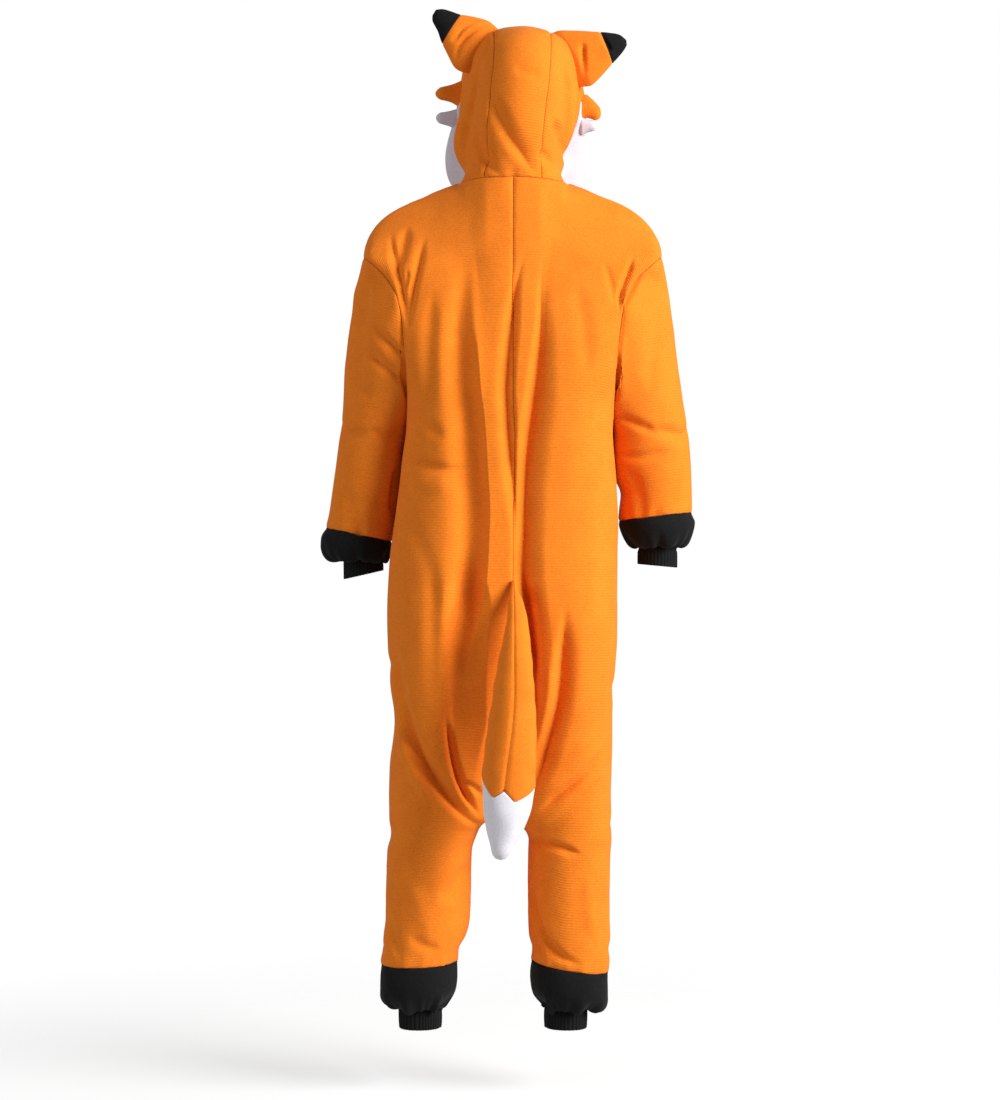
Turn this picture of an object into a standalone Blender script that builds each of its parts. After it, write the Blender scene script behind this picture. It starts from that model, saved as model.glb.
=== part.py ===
"""A fox onesie in an adult's size, hanging in its worn form with nobody in it.

Metres, +Z up. The front faces -Y and the wearer's left is +X. The origin is at the
back of the neck seam, where the shoulders carry the garment. "Drop" is the distance
below the neck seam. Every cloth piece is a closed wall cut from one shared skin, so
neighbouring pieces meet at a seam with the same slope and a small gap.
"""
import math

import bmesh
import bpy
import numpy as np
from mathutils import Vector

COLLECTION = "fox_onesie"

# Cloth
FLEECE = 0.0025         # wall of the fleece
RIB = 0.0030            # wall of the knitted cuffs
SEAM_GAP = 0.0004       # between the edges of two pieces at a seam
SEAT_GAP = 0.0004       # between a piece and the panel it is sewn onto

# Grid of the skin
SHOULDER_COLUMNS = 6
BACK_NECK_COLUMNS = 8
FRONT_NECK_ANGLES = (90, 117, 144, 168, 180)
FRONT_NECK_COLUMNS = len(FRONT_NECK_ANGLES) - 1
YOKE_ROWS = 9           # from the shoulder seam to the underarm
HOOD_CENTRE_COLUMNS = 3  # on each half of the centre strip
HOOD_SIDE_COLUMNS = 5
HOOD_CHEEK_COLUMNS = 3

# Neck and shoulders
NECK_HALF = 0.092       # half the width of the neck seam
NECK_BACK = 0.066       # depth of the neck seam behind the origin
NECK_FRONT = 0.088      # and in front of it
NECK_DIP = 0.055        # how far the neck seam drops at the front
SHOULDER_REACH = 0.257  # from the centre to the sleeve seam
SHOULDER_SLOPE = 0.048
SHOULDER_ROUND = 0.080
YOKE_FILL = 2.0         # how fast the back and chest fill out below the shoulder seam
YOKE_SIDE = 6           # how close to the sleeve seam its own depth stays
FULLNESS = 0.84         # 1 makes elliptical sections, less makes squarer ones


def table(names, rows):
    """Columns of a table by name, each an array in the order of its rows."""
    data = np.array(rows, float)
    return {name: data[:, i] for i, name in enumerate(names.split())}


# Half of the torso and one leg, from the underarm to the cuff. Sizes across are taken
# from the centre line, which stands at "centre". "mid" is where the section is deepest,
# "inner" is the inseam, front_mid and back_mid are the depths at the centre seams, and
# "seam" is how far the centre-back seam stands aside of the centre line.
UNDERARM, CROTCH, LEG_END = 0.380, 1.075, 1.325
BODY = table(
    "row drop centre half mid inner front front_mid back back_mid seam", [
    (0.380, 0.380, 0.004, 0.1720, 0.055, 0.000, 0.133, 0.133, 0.120, 0.120, -0.003),
    (0.405, 0.405, 0.005, 0.1740, 0.055, 0.000, 0.134, 0.134, 0.119, 0.119, -0.005),
    (0.440, 0.440, 0.007, 0.1765, 0.055, 0.000, 0.134, 0.134, 0.117, 0.117, -0.009),
    (0.510, 0.510, 0.008, 0.183, 0.055, 0.000, 0.134, 0.134, 0.115, 0.114, -0.009),
    (0.575, 0.575, 0.011, 0.189, 0.058, 0.000, 0.133, 0.133, 0.119, 0.117, -0.012),
    (0.645, 0.645, 0.017, 0.193, 0.062, 0.000, 0.131, 0.130, 0.127, 0.123, -0.018),
    (0.745, 0.745, 0.019, 0.195, 0.074, 0.000, 0.127, 0.123, 0.132, 0.124, -0.019),
    (0.850, 0.850, 0.019, 0.191, 0.088, 0.000, 0.119, 0.108, 0.127, 0.108, -0.015),
    (0.915, 0.915, 0.017, 0.185, 0.096, 0.000, 0.113, 0.094, 0.119, 0.092, -0.010),
    (0.985, 0.985, 0.021, 0.188, 0.104, 0.000, 0.107, 0.071, 0.110, 0.070, -0.005),
    (1.040, 1.040, 0.022, 0.187, 0.110, 0.000, 0.101, 0.040, 0.102, 0.040, -0.001),
    (1.075, 1.075, 0.021, 0.187, 0.112, 0.000, 0.096, 0.000, 0.096, 0.000, 0.000),
    (1.098, 1.098, 0.019, 0.187, 0.113, 0.034, 0.092, 0.000, 0.091, 0.000, 0.000),
    (1.135, 1.135, 0.022, 0.187, 0.116, 0.047, 0.087, 0.000, 0.085, 0.000, 0.000),
    (1.190, 1.190, 0.023, 0.188, 0.118, 0.048, 0.080, 0.000, 0.080, 0.000, 0.000),
    (1.255, 1.255, 0.024, 0.190, 0.120, 0.050, 0.077, 0.000, 0.077, 0.000, 0.000),
    (1.300, 1.300, 0.029, 0.195, 0.125, 0.059, 0.075, 0.000, 0.075, 0.000, 0.000),
    (1.325, 1.325, 0.031, 0.193, 0.127, 0.064, 0.073, 0.000, 0.074, 0.000, 0.000),
    (1.345, 1.345, 0.032, 0.194, 0.127, 0.062, 0.075, 0.000, 0.076, 0.000, 0.000),
    (1.370, 1.370, 0.032, 0.194, 0.126, 0.064, 0.073, 0.000, 0.074, 0.000, 0.000),
    (1.392, 1.390, 0.033, 0.189, 0.125, 0.077, 0.064, 0.000, 0.064, 0.000, 0.000),
    (1.410, 1.403, 0.034, 0.176, 0.124, 0.086, 0.052, 0.000, 0.052, 0.000, 0.000),
    (1.425, 1.400, 0.034, 0.160, 0.124, 0.088, 0.041, 0.000, 0.041, 0.000, 0.000),
    (1.440, 1.416, 0.034, 0.160, 0.124, 0.087, 0.041, 0.000, 0.041, 0.000, 0.000),
    (1.460, 1.436, 0.034, 0.159, 0.124, 0.088, 0.040, 0.000, 0.040, 0.000, 0.000)])
BAND_END, CUFF_END = 1.425, 1.460
TAIL_TOP, TAIL_FOOT = 0.670, 0.710  # where the tail is sewn on
TAIL_ROOT_HALF = 0.011
BODY_STOPS = (UNDERARM, TAIL_TOP, TAIL_FOOT, 0.99, CROTCH, 1.135, LEG_END, 1.392,
              BAND_END, CUFF_END)
BODY_COUNTS = (8, 2, 7, 4, 3, 6, 3, 2, 2)  # rows of the skin between those places
LEG_BAND_TILT = {"left": 0.004, "right": 0.020}  # how much lower the outside of a band is
LEG_BAND_LOW = {"left": 0.001, "right": 0.007}   # and how much lower the whole of it is

# Front closing
PLACKET_HALF = 0.0145
PLACKET_END = 0.80      # drop of its lower end
BUTTON_DROPS = (0.105, 0.225, 0.345, 0.465, 0.585, 0.705)
BUTTON_RADIUS, BUTTON_THICKNESS = 0.009, 0.0035

UNDERARM_EASE = 0.09    # how far the underarm's rounding reaches
NECK_EASE = 0.25        # and that of the shoulders beside the neck

# The sleeve seam on the body, from the shoulder tip to the underarm.
ARMHOLE = table(
    "share  out    drop   deep", [
    (0.00, 0.257, 0.128, 0.000),
    (0.15, 0.233, 0.148, 0.040),
    (0.35, 0.204, 0.180, 0.072),
    (0.55, 0.188, 0.215, 0.088),
    (0.75, 0.180, 0.288, 0.082),
    (0.90, 0.176, 0.348, 0.050),
    (1.00, 0.173, 0.380, 0.000)])

# Each sleeve, from the sleeve seam to the cuff: the place of its outer and inner edge,
# half its depth and how far forward it hangs.
SLEEVE_END, SLEEVE_BAND_END, SLEEVE_CUFF_END = 1.00, 1.36, 1.60
SLEEVE_NAMES = "row   outer  outer_drop inner inner_drop deep forward"
SLEEVE = {
    "left": table(SLEEVE_NAMES, [
        (0.00, 0.257, 0.128, 0.173, 0.380, 0.088, 0.000),
        (0.09, 0.266, 0.165, 0.1805, 0.385, 0.087, 0.001),
        (0.18, 0.278, 0.205, 0.1775, 0.396, 0.085, 0.006),
        (0.34, 0.288, 0.300, 0.1775, 0.420, 0.078, 0.030),
        (0.52, 0.292, 0.390, 0.1845, 0.454, 0.074, 0.047),
        (0.70, 0.303, 0.470, 0.1900, 0.512, 0.070, 0.056),
        (0.86, 0.313, 0.535, 0.2000, 0.566, 0.067, 0.064),
        (1.00, 0.322, 0.588, 0.2090, 0.612, 0.063, 0.069),
        (1.10, 0.331, 0.604, 0.2090, 0.622, 0.066, 0.070),
        (1.18, 0.330, 0.622, 0.2120, 0.634, 0.064, 0.071),
        (1.28, 0.314, 0.643, 0.2180, 0.647, 0.053, 0.073),
        (1.36, 0.293, 0.641, 0.2250, 0.643, 0.038, 0.074),
        (1.45, 0.292, 0.655, 0.2240, 0.650, 0.037, 0.075),
        (1.60, 0.292, 0.676, 0.2240, 0.661, 0.037, 0.077)]),
    "right": table(SLEEVE_NAMES, [
        (0.00, 0.257, 0.128, 0.173, 0.380, 0.088, 0.000),
        (0.09, 0.264, 0.160, 0.1780, 0.385, 0.087, 0.001),
        (0.18, 0.269, 0.195, 0.1730, 0.396, 0.085, 0.006),
        (0.34, 0.279, 0.280, 0.1690, 0.418, 0.078, 0.030),
        (0.52, 0.291, 0.365, 0.1680, 0.446, 0.074, 0.046),
        (0.70, 0.303, 0.440, 0.1710, 0.496, 0.070, 0.056),
        (0.82, 0.307, 0.488, 0.1860, 0.528, 0.067, 0.062),
        (0.91, 0.309, 0.526, 0.1830, 0.552, 0.066, 0.066),
        (1.00, 0.309, 0.562, 0.1820, 0.576, 0.063, 0.069),
        (1.10, 0.316, 0.578, 0.1850, 0.590, 0.066, 0.070),
        (1.18, 0.310, 0.598, 0.1920, 0.605, 0.064, 0.071),
        (1.28, 0.297, 0.619, 0.2050, 0.620, 0.053, 0.073),
        (1.36, 0.283, 0.622, 0.2170, 0.622, 0.038, 0.074),
        (1.45, 0.284, 0.634, 0.2160, 0.630, 0.037, 0.075),
        (1.60, 0.284, 0.656, 0.2160, 0.650, 0.037, 0.077)])}

# The hood in hoops from the neck seam over the crown to the forehead. "edge" is the hoop's
# end on the face opening, "top" its middle, and "turn" how far round it goes in degrees.
HOOD = table(
    "row   edge_out edge_y edge_z top_y top_z  turn  lean", [
    (0.00, 0.030, -0.0835, -0.054, 0.066, 0.003, 160, 0.000),
    (0.12, 0.084, -0.116, -0.022, 0.084, 0.030, 108, -0.001),
    (0.24, 0.117, -0.134, 0.018, 0.100, 0.064, 86, -0.003),
    (0.37, 0.124, -0.136, 0.064, 0.111, 0.106, 83, -0.006),
    (0.50, 0.115, -0.128, 0.112, 0.113, 0.152, 88, -0.011),
    (0.62, 0.108, -0.120, 0.152, 0.102, 0.196, 95, -0.015),
    (0.74, 0.102, -0.114, 0.180, 0.076, 0.236, 100, -0.016),
    (0.86, 0.096, -0.110, 0.200, 0.026, 0.259, 102, -0.015),
    (1.00, 0.086, -0.106, 0.214, -0.086, 0.248, 102, -0.014)])
# Its right side is drawn in above the neck where the cheek panel begins, and spreads out
# at the face opening, as shares of its half width.
CHEEK_SPREAD = table(
    "row   drawn  spread", [
    (0.00, 0.00, 0.00), (0.12, 0.02, 0.13), (0.18, 0.12, 0.20), (0.24, 0.17, 0.24),
    (0.30, 0.10, 0.22), (0.37, 0.05, 0.19), (0.50, 0.00, 0.13), (0.62, 0.00, 0.05),
    (0.74, 0.00, 0.00), (1.00, 0.00, 0.00)])
HOOD_ROWS = 13
HOOD_STRIP = 0.0485     # half the width of the hood's centre strip
CHEEK_ROWS = 7          # hood rows, from the neck, in which the cheek panels lie

# Folds in the back and front. Each runs from one place to another, given across from the
# origin and by drop; "bow" bends it sideways; a depth above 0 is a furrow, below 0 a ridge.
BACK, FRONT = 1.0, -1.0
FOLDS = table(
    "face   x0     drop0  x1     drop1  bow    width  depth", [
    (BACK, 0.082, 0.110, 0.062, 0.860, 0.006, 0.017, 0.014),
    (BACK, 0.062, 0.150, 0.036, 0.800, -0.004, 0.013, -0.008),
    (BACK, -0.006, 0.130, 0.004, 0.660, 0.004, 0.013, 0.009),
    (BACK, -0.030, 0.120, -0.018, 0.700, 0.000, 0.012, -0.007),
    (BACK, -0.056, 0.135, -0.042, 0.760, -0.010, 0.015, 0.012),
    (BACK, -0.105, 0.180, -0.125, 0.330, 0.000, 0.016, 0.005),
    (BACK, 0.180, 0.472, 0.075, 0.494, 0.006, 0.012, 0.006),
    (BACK, 0.198, 0.880, 0.070, 1.085, 0.030, 0.015, 0.009),
    (BACK, 0.180, 0.790, 0.050, 0.985, 0.025, 0.018, 0.008),
    (BACK, -0.150, 0.930, -0.030, 1.075, -0.025, 0.015, 0.009),
    (BACK, -0.140, 0.800, -0.010, 0.985, -0.025, 0.018, 0.008),
    (BACK, 0.190, 1.125, 0.080, 1.145, 0.006, 0.012, 0.006),
    (BACK, -0.060, 1.125, -0.110, 1.140, 0.006, 0.012, 0.006),
    (FRONT, 0.085, 0.140, 0.070, 0.800, 0.006, 0.018, 0.010),
    (FRONT, -0.078, 0.150, -0.056, 0.760, -0.008, 0.018, 0.011),
    (FRONT, 0.185, 0.860, 0.060, 1.075, 0.028, 0.016, 0.009),
    (FRONT, -0.150, 0.900, -0.020, 1.080, -0.026, 0.016, 0.009),
    (FRONT, 0.170, 0.500, 0.080, 0.530, 0.006, 0.014, 0.006)])

# The tail, from its root on the centre-back seam to its tip: the place of its two outer
# edges, its seam and its middle, and half its depth.
TAIL = table(
    "row   drop   left   right   seam   back   deep", [
    (0.0, 0.733, 0.013, -0.019, -0.001, 0.166, 0.018),
    (1.0, 0.765, 0.019, -0.024, -0.001, 0.177, 0.026),
    (2.0, 0.805, 0.026, -0.030, -0.001, 0.185, 0.032),
    (3.0, 0.855, 0.033, -0.035, -0.001, 0.190, 0.036),
    (4.0, 0.915, 0.042, -0.038, 0.003, 0.191, 0.039),
    (5.0, 0.975, 0.047, -0.038, 0.011, 0.190, 0.040),
    (6.0, 1.018, 0.049, -0.036, 0.016, 0.189, 0.039)])
TAIL_TIP = table(
    "row   drop   left   right   seam   back   deep", [
    (0.0, 1.018, 0.049, -0.036, 0.016, 0.189, 0.039),
    (1.0, 1.048, 0.049, -0.028, 0.015, 0.189, 0.035),
    (2.0, 1.080, 0.045, -0.014, 0.016, 0.188, 0.026),
    (3.0, 1.108, 0.037, 0.001, 0.018, 0.187, 0.016),
    (4.0, 1.124, 0.029, 0.010, 0.018, 0.187, 0.008)])

TAIL_ROWS = (YOKE_ROWS + BODY_COUNTS[0], YOKE_ROWS + BODY_COUNTS[0] + BODY_COUNTS[1])

# Ears and tufts: the grid they sit on, its rows and columns, where they point, their
# length, and half their width and thickness.
EARS_AND_TUFTS = (
    ("ear_left", "hood_left", (9, 11), (3, 8), (0.79, 0.05, 0.61), 0.098, 0.048, 0.018),
    ("ear_right", "hood_right", (9, 11), (4, 9), (-0.95, 0.05, 0.32), 0.100, 0.050, 0.018),
    ("tuft_orange_left", "hood_left", (7, 9), (8, 9), (1, 0.1, 0.02), 0.036, 0.018, 0.009),
    ("tuft_orange_right", "hood_right", (7, 9), (8, 9), (-1, 0.1, -0.25), 0.034, 0.018, 0.009),
    ("tuft_white_left", "hood_left", (5, 7), (8, 9), (1, 0.1, 0.15), 0.030, 0.016, 0.009),
    ("tuft_white_right", "hood_right", (5, 7), (8, 9), (-1, 0.1, -0.3), 0.030, 0.016, 0.009))
EAR_SPLIT = 0.62        # where the black tip begins
TUFT_SPLIT = 0.93       # where a tuft's rounded point ends

MATERIALS = {
    # name: colour, roughness
    "orange_fleece": ((0.78, 0.27, 0.035), 0.90),
    "black_fleece": ((0.012, 0.012, 0.013), 0.90),
    "black_rib": ((0.010, 0.010, 0.011), 0.85),
    "white_fleece": ((0.80, 0.78, 0.82), 0.90),
    "button_plastic": ((0.55, 0.20, 0.04), 0.40)}


# ---------------------------------------------------------------- curves and tables

def smooth(key, values, at):
    """Smooth curve through the rows of a table that doesn't overshoot them."""
    at = np.clip(np.asarray(at, float), key[0], key[-1])
    step = np.diff(key)
    slope = np.diff(values) / step
    tangent = np.zeros(len(key))
    tangent[0], tangent[-1] = slope[0], slope[-1]
    turn = slope[:-1] * slope[1:] > 0
    weight_a = 2 * step[1:] + step[:-1]
    weight_b = step[1:] + 2 * step[:-1]
    safe_a = np.where(turn, slope[:-1], 1.0)
    safe_b = np.where(turn, slope[1:], 1.0)
    mean = (weight_a + weight_b) / (weight_a / safe_a + weight_b / safe_b)
    tangent[1:-1] = np.where(turn, mean, 0.0)
    i = np.clip(np.searchsorted(key, at, side="right") - 1, 0, len(step) - 1)
    t = (at - key[i]) / step[i]
    return (values[i] * (1 + 2 * t) * (1 - t) ** 2 + values[i + 1] * t * t * (3 - 2 * t)
            + step[i] * (tangent[i] * t * (1 - t) ** 2 + tangent[i + 1] * t * t * (t - 1)))


def read(columns, name, at, key="row"):
    """One column of a table at any place along it."""
    return smooth(columns[key], columns[name], at)


def spread(stops, counts):
    """Values from stop to stop, each stretch divided evenly."""
    parts = [np.linspace(a, b, n + 1)[:-1] for a, b, n in zip(stops, stops[1:], counts)]
    return np.concatenate(parts + [[stops[-1]]])


def fade(t):
    """1 at t = 0, falling smoothly to 0 at t = 1."""
    t = np.clip(t, 0.0, 1.0)
    return 1 - t * t * (3 - 2 * t)


# ---------------------------------------------------------------- the body

def neck_angle(column):
    """The angle of a neck column, counted from the centre back."""
    if column <= BACK_NECK_COLUMNS:
        return 0.5 * math.pi * column / BACK_NECK_COLUMNS
    return math.radians(FRONT_NECK_ANGLES[column - BACK_NECK_COLUMNS])


def neck_point(angle, side):
    """The neck seam: angle 0 at the centre back, 90 degrees at the side, 180 in front."""
    reach = NECK_BACK if math.cos(angle) > 0 else NECK_FRONT
    front = max(0.0, -math.cos(angle))
    drop = -0.003 * max(0.0, math.cos(angle)) + NECK_DIP * front ** 1.5
    return np.array((side * NECK_HALF * math.sin(angle), reach * math.cos(angle), -drop))


def shoulder_point(t, side):
    """The shoulder seam, from the neck to the top of the sleeve seam."""
    t = math.sin(0.5 * math.pi * t)
    out = NECK_HALF + (SHOULDER_REACH - NECK_HALF) * t
    drop = SHOULDER_SLOPE * t + SHOULDER_ROUND * (1 - math.sqrt(max(0.0, 1 - t ** 4)))
    return np.array((side * out, 0.0, -drop))


def section_point(row, side, face, t, flat):
    """A point of the torso or a leg: t is 0 at the centre seam or inseam, 1 at the side."""
    name = "back" if face == BACK else "front"
    deep, deep_mid = read(BODY, name, row), read(BODY, name + "_mid", row)
    mid, inner, half = (read(BODY, key, row) for key in ("mid", "inner", "half"))
    shut = 1 - deep_mid / deep
    if t < flat:
        a = 0.5 * math.pi * t / flat
        across = inner + (mid - inner) * ((1 - shut) * t / flat + shut * (1 - math.cos(a)))
        depth = deep_mid + (deep - deep_mid) * math.sin(a)
    else:
        a = 0.5 * math.pi * (t - flat) / (1 - flat)
        across = mid + (half - mid) * math.sin(a) ** FULLNESS
        depth = deep * max(0.0, math.cos(a)) ** FULLNESS
    side_name = "left" if side > 0 else "right"
    slant = LEG_BAND_TILT[side_name] * (across - mid) / (half - inner)
    lower = slant + LEG_BAND_LOW[side_name]
    drop = read(BODY, "drop", row) + lower * fade(abs(LEG_END - row) / 0.10)
    aside = read(BODY, "seam", row) * fade(t) if face == BACK else 0.0
    x = read(BODY, "centre", row) + side * across + aside
    return np.array((x, face * depth, -drop))


def centre_line(t, face):
    """The centre seam from the neck to the underarm's height."""
    top = neck_point(0.0 if face == BACK else math.pi, 1)
    end = section_point(UNDERARM, 1, face, 0.0, 0.5)
    bulge = math.sin(0.5 * math.pi * min(1.0, 1.15 * t)) ** 0.9
    return np.array((top[0] + (end[0] - top[0]) * t, top[1] + (end[1] - top[1]) * bulge,
                     top[2] + (end[2] - top[2]) * t))


def armhole_point(share, side, face):
    end = section_point(UNDERARM, side, face, 1.0, 0.5)
    out = read(ARMHOLE, "out", share, "share")
    gap = (abs(end[0]) - ARMHOLE["out"][-1]) * share
    depth = read(ARMHOLE, "deep", share, "share")
    return np.array((side * (out + gap), face * depth, -read(ARMHOLE, "drop", share, "share")))


def coons(top, bottom, left, right):
    """A surface between four curves that share their ends; its depth fills out fastest."""
    u = np.linspace(0, 1, len(top))[None, :, None]
    v = np.linspace(0, 1, len(left))[:, None, None]
    upper = (1 - v) ** np.array((1, YOKE_FILL, 1))
    reach = u ** np.array((1, YOKE_SIDE, 1))
    ruled = upper * top[None] + (1 - upper) * bottom[None]
    sides = (1 - u) * left[:, None] + reach * right[:, None]
    corners = (upper * ((1 - u) * top[0] + reach * top[-1])
               + (1 - upper) * ((1 - u) * bottom[0] + reach * bottom[-1]))
    return ruled + sides - corners


def body_grid(side, face):
    """One quarter of the body, from neck to cuff and from its centre seam to its side."""
    neck_columns = BACK_NECK_COLUMNS if face == BACK else FRONT_NECK_COLUMNS
    columns = neck_columns + SHOULDER_COLUMNS
    flat = neck_columns / columns
    all_columns = BACK_NECK_COLUMNS + FRONT_NECK_COLUMNS
    neck = [neck_point(neck_angle(j if face == BACK else all_columns - j), side)
            for j in range(neck_columns)]
    shoulder = [shoulder_point(j / SHOULDER_COLUMNS, side) for j in range(SHOULDER_COLUMNS + 1)]
    rows = spread(BODY_STOPS, BODY_COUNTS)

    def across_share(row, j):
        if face == FRONT and j == 1:
            return flat * min(1 / neck_columns, PLACKET_HALF / read(BODY, "mid", row))
        if face == BACK and j in (1, 2):
            return flat * 0.5 * j * TAIL_ROOT_HALF / read(BODY, "mid", row)
        return j / columns

    lower = np.array([[section_point(row, side, face, across_share(row, j), flat)
                       for j in range(columns + 1)] for row in rows])
    shares = np.linspace(0, 1, YOKE_ROWS + 1)
    middle = np.array([centre_line(t, face) for t in shares])
    armhole = np.array([armhole_point(t, side, face) for t in shares])
    armhole[0], armhole[-1] = shoulder[-1], lower[0][-1]
    upper = coons(np.array(neck + shoulder), lower[0], middle, armhole)
    grid = np.concatenate([upper[:-1], lower])
    row_names = ["body"] * YOKE_ROWS + [
        "body" if row < LEG_END - 1e-6 else "leg_band" if row < BAND_END - 1e-6 else "leg_cuff"
        for row in rows[:-1]]
    return grid, row_names, armhole


# ---------------------------------------------------------------- sleeves and hood

def sleeve_grid(side, loop):
    """A sleeve around from its shoulder tip by the back, the underarm and the front."""
    columns = SLEEVE["left" if side > 0 else "right"]
    rows = spread((0.0, SLEEVE_END, 1.28, SLEEVE_BAND_END, SLEEVE_CUFF_END), (11, 3, 1, 2))
    count = len(loop)
    angle = 2 * math.pi * np.arange(count) / count

    def ring(row):
        share = 0.5 + 0.5 * np.cos(angle)
        outer, inner = read(columns, "outer", row), read(columns, "inner", row)
        across = inner + (outer - inner) * share
        high, low = read(columns, "outer_drop", row), read(columns, "inner_drop", row)
        drop = low + (high - low) * share
        depth = read(columns, "deep", row) * np.sin(angle)
        depth = depth - read(columns, "forward", row)
        return np.stack([side * across, depth, -drop], axis=1)

    start = loop - ring(0.0)
    grid = np.array([ring(row) + start * fade(row / 0.45) for row in rows])
    names = ["sleeve" if row < SLEEVE_END - 1e-6 else
             "sleeve_band" if row < SLEEVE_BAND_END - 1e-6 else "sleeve_cuff"
             for row in rows[:-1]]
    return grid, names


def hood_point(row, side, column):
    """A point of the hood; columns run from its middle to the face opening."""
    turn = math.radians(read(HOOD, "turn", row))
    half = read(HOOD, "edge_out", row) / math.sin(turn)
    strip = math.asin(HOOD_STRIP / half)
    rest = HOOD_SIDE_COLUMNS + HOOD_CHEEK_COLUMNS
    if column < HOOD_CENTRE_COLUMNS:
        angle = strip * column / HOOD_CENTRE_COLUMNS
    else:
        angle = strip + (turn - strip) * (column - HOOD_CENTRE_COLUMNS) / rest
    bend = (1 - math.cos(angle)) / (1 - math.cos(turn))
    top_y, top_z = read(HOOD, "top_y", row), read(HOOD, "top_z", row)
    y = top_y + (read(HOOD, "edge_y", row) - top_y) * bend
    hang = fade(row / 0.6)  # how closely the hoop follows the dip of the neck seam
    dip = hang * neck_point(neck_angle(column), side)[2]
    end_dip = hang * neck_point(neck_angle(HOOD_CENTRE_COLUMNS + rest), side)[2]
    z = top_z + (read(HOOD, "edge_z", row) - end_dip - top_z) * bend + dip
    out = half * math.sin(angle)
    if side < 0:
        share = max(0.0, (angle - strip) / (turn - strip))
        drawn = read(CHEEK_SPREAD, "drawn", row) * math.sin(math.pi * min(1.0, 0.8 * share)) ** 2
        out *= 1 - drawn + read(CHEEK_SPREAD, "spread", row) * share ** 4
    return np.array((read(HOOD, "lean", row) + side * out, y, z))


def hood_grid(side):
    """Half of the hood, from its middle to the face opening."""
    columns = range(HOOD_CENTRE_COLUMNS + HOOD_SIDE_COLUMNS + HOOD_CHEEK_COLUMNS + 1)
    rows = np.linspace(0, 1, HOOD_ROWS + 1)
    grid = np.array([[hood_point(row, side, j) for j in columns] for row in rows])
    for j in columns:
        grid[0, j] = neck_point(neck_angle(j), side)
    return grid


# ---------------------------------------------------------------- skin and walls

class Skin:
    """Grids of four-sided faces joined at their shared points, each face named by panel."""

    def __init__(self):
        self.points, self.faces, self.labels, self.index = [], [], [], {}
        self.grids = {}

    def number(self, point):
        key = tuple(int(round(c * 1e6)) for c in point)
        if key not in self.index:
            self.index[key] = len(self.points)
            self.points.append(np.array(point, float))
        return self.index[key]

    def add(self, name, grid, label, flip, closed=False):
        """Adds a named grid; label gives the panel for a row and column."""
        numbers = [[self.number(p) for p in line] for line in grid]
        self.grids[name] = (np.array(numbers), flip)
        width = len(numbers[0])
        for i in range(len(numbers) - 1):
            for j in range(width if closed else width - 1):
                k = (j + 1) % width
                face = [numbers[i][j], numbers[i][k], numbers[i + 1][k], numbers[i + 1][j]]
                face = [v for n, v in enumerate(face) if v not in face[:n]]
                self.faces.append(face[::-1] if flip else face)
                self.labels.append(label(i, j))

    def finish(self):
        self.points = np.array(self.points)
        self.measure()

    def measure(self):
        """Works out the slope of the whole skin at each point."""
        normals = np.zeros_like(self.points)
        for face in self.faces:
            corners = self.points[face]
            area = np.zeros(3)
            for a, b in zip(corners, np.roll(corners, -1, axis=0)):
                area += np.cross(a, b)
            for v in face:
                normals[v] += area / np.linalg.norm(area)
        self.normals = normals / np.linalg.norm(normals, axis=1)[:, None]

    def panel(self, label):
        return [face for face, name in zip(self.faces, self.labels) if name == label]

    def block(self, name, rows, columns):
        """The faces of a grid between two rows and two columns."""
        numbers, flip = self.grids[name]
        faces = []
        for i in range(*rows):
            for j in range(*columns):
                face = [numbers[i][j], numbers[i][j + 1], numbers[i + 1][j + 1],
                        numbers[i + 1][j]]
                face = [v for n, v in enumerate(face) if v not in face[:n]]
                faces.append(face[::-1] if flip else face)
        return faces


def relax(skin, centre, radius, rounds, keep=(), along=(1, 1, 1)):
    """Eases the skin near a place by moving its points towards their neighbours."""
    near = {}
    for face in skin.faces:
        for a, b in zip(face, face[1:] + face[:1]):
            near.setdefault(a, set()).add(b)
            near.setdefault(b, set()).add(a)
    for _ in range(rounds):
        weight = 0.5 * fade(np.linalg.norm(skin.points - centre, axis=1) / radius)
        weight[list(keep)] = 0.0
        moved = skin.points.copy()
        for v in np.nonzero(weight)[0]:
            middle = skin.points[list(near[v])].mean(axis=0)
            moved[v] += weight[v] * np.array(along) * (middle - skin.points[v])
        skin.points = moved


def fold_shift(points, normals):
    """How far the folds move each point along its normal."""
    shift = np.zeros(len(points))
    for i in range(len(FOLDS["x0"])):
        row = {name: values[i] for name, values in FOLDS.items()}
        start = np.array((row["x0"], -row["drop0"]))
        along = np.array((row["x1"], -row["drop1"])) - start
        length = np.linalg.norm(along)
        along = along / length
        rel = points[:, [0, 2]] - start
        t = rel @ along / length
        bow = row["bow"] * 4 * t * (1 - t)
        off = (rel[:, 0] * along[1] - rel[:, 1] * along[0] - bow) / row["width"]
        profile = (1 - 0.35 * off ** 2) * np.exp(-0.5 * off ** 2)
        ends = fade(1 - t / 0.2) * fade(1 - (1 - t) / 0.2) * (t > 0) * (t < 1)
        facing = fade(1 - normals[:, 1] * row["face"] / 0.6)
        shift -= row["depth"] * profile * ends * facing
    return shift


def edge_loops(faces):
    """The edges that only one of the faces has, in its direction."""
    edges = {}
    for face in faces:
        for a, b in zip(face, face[1:] + face[:1]):
            edges[(a, b)] = edges.get((a, b), 0) + 1
    return [edge for edge in edges if (edge[1], edge[0]) not in edges]


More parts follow.
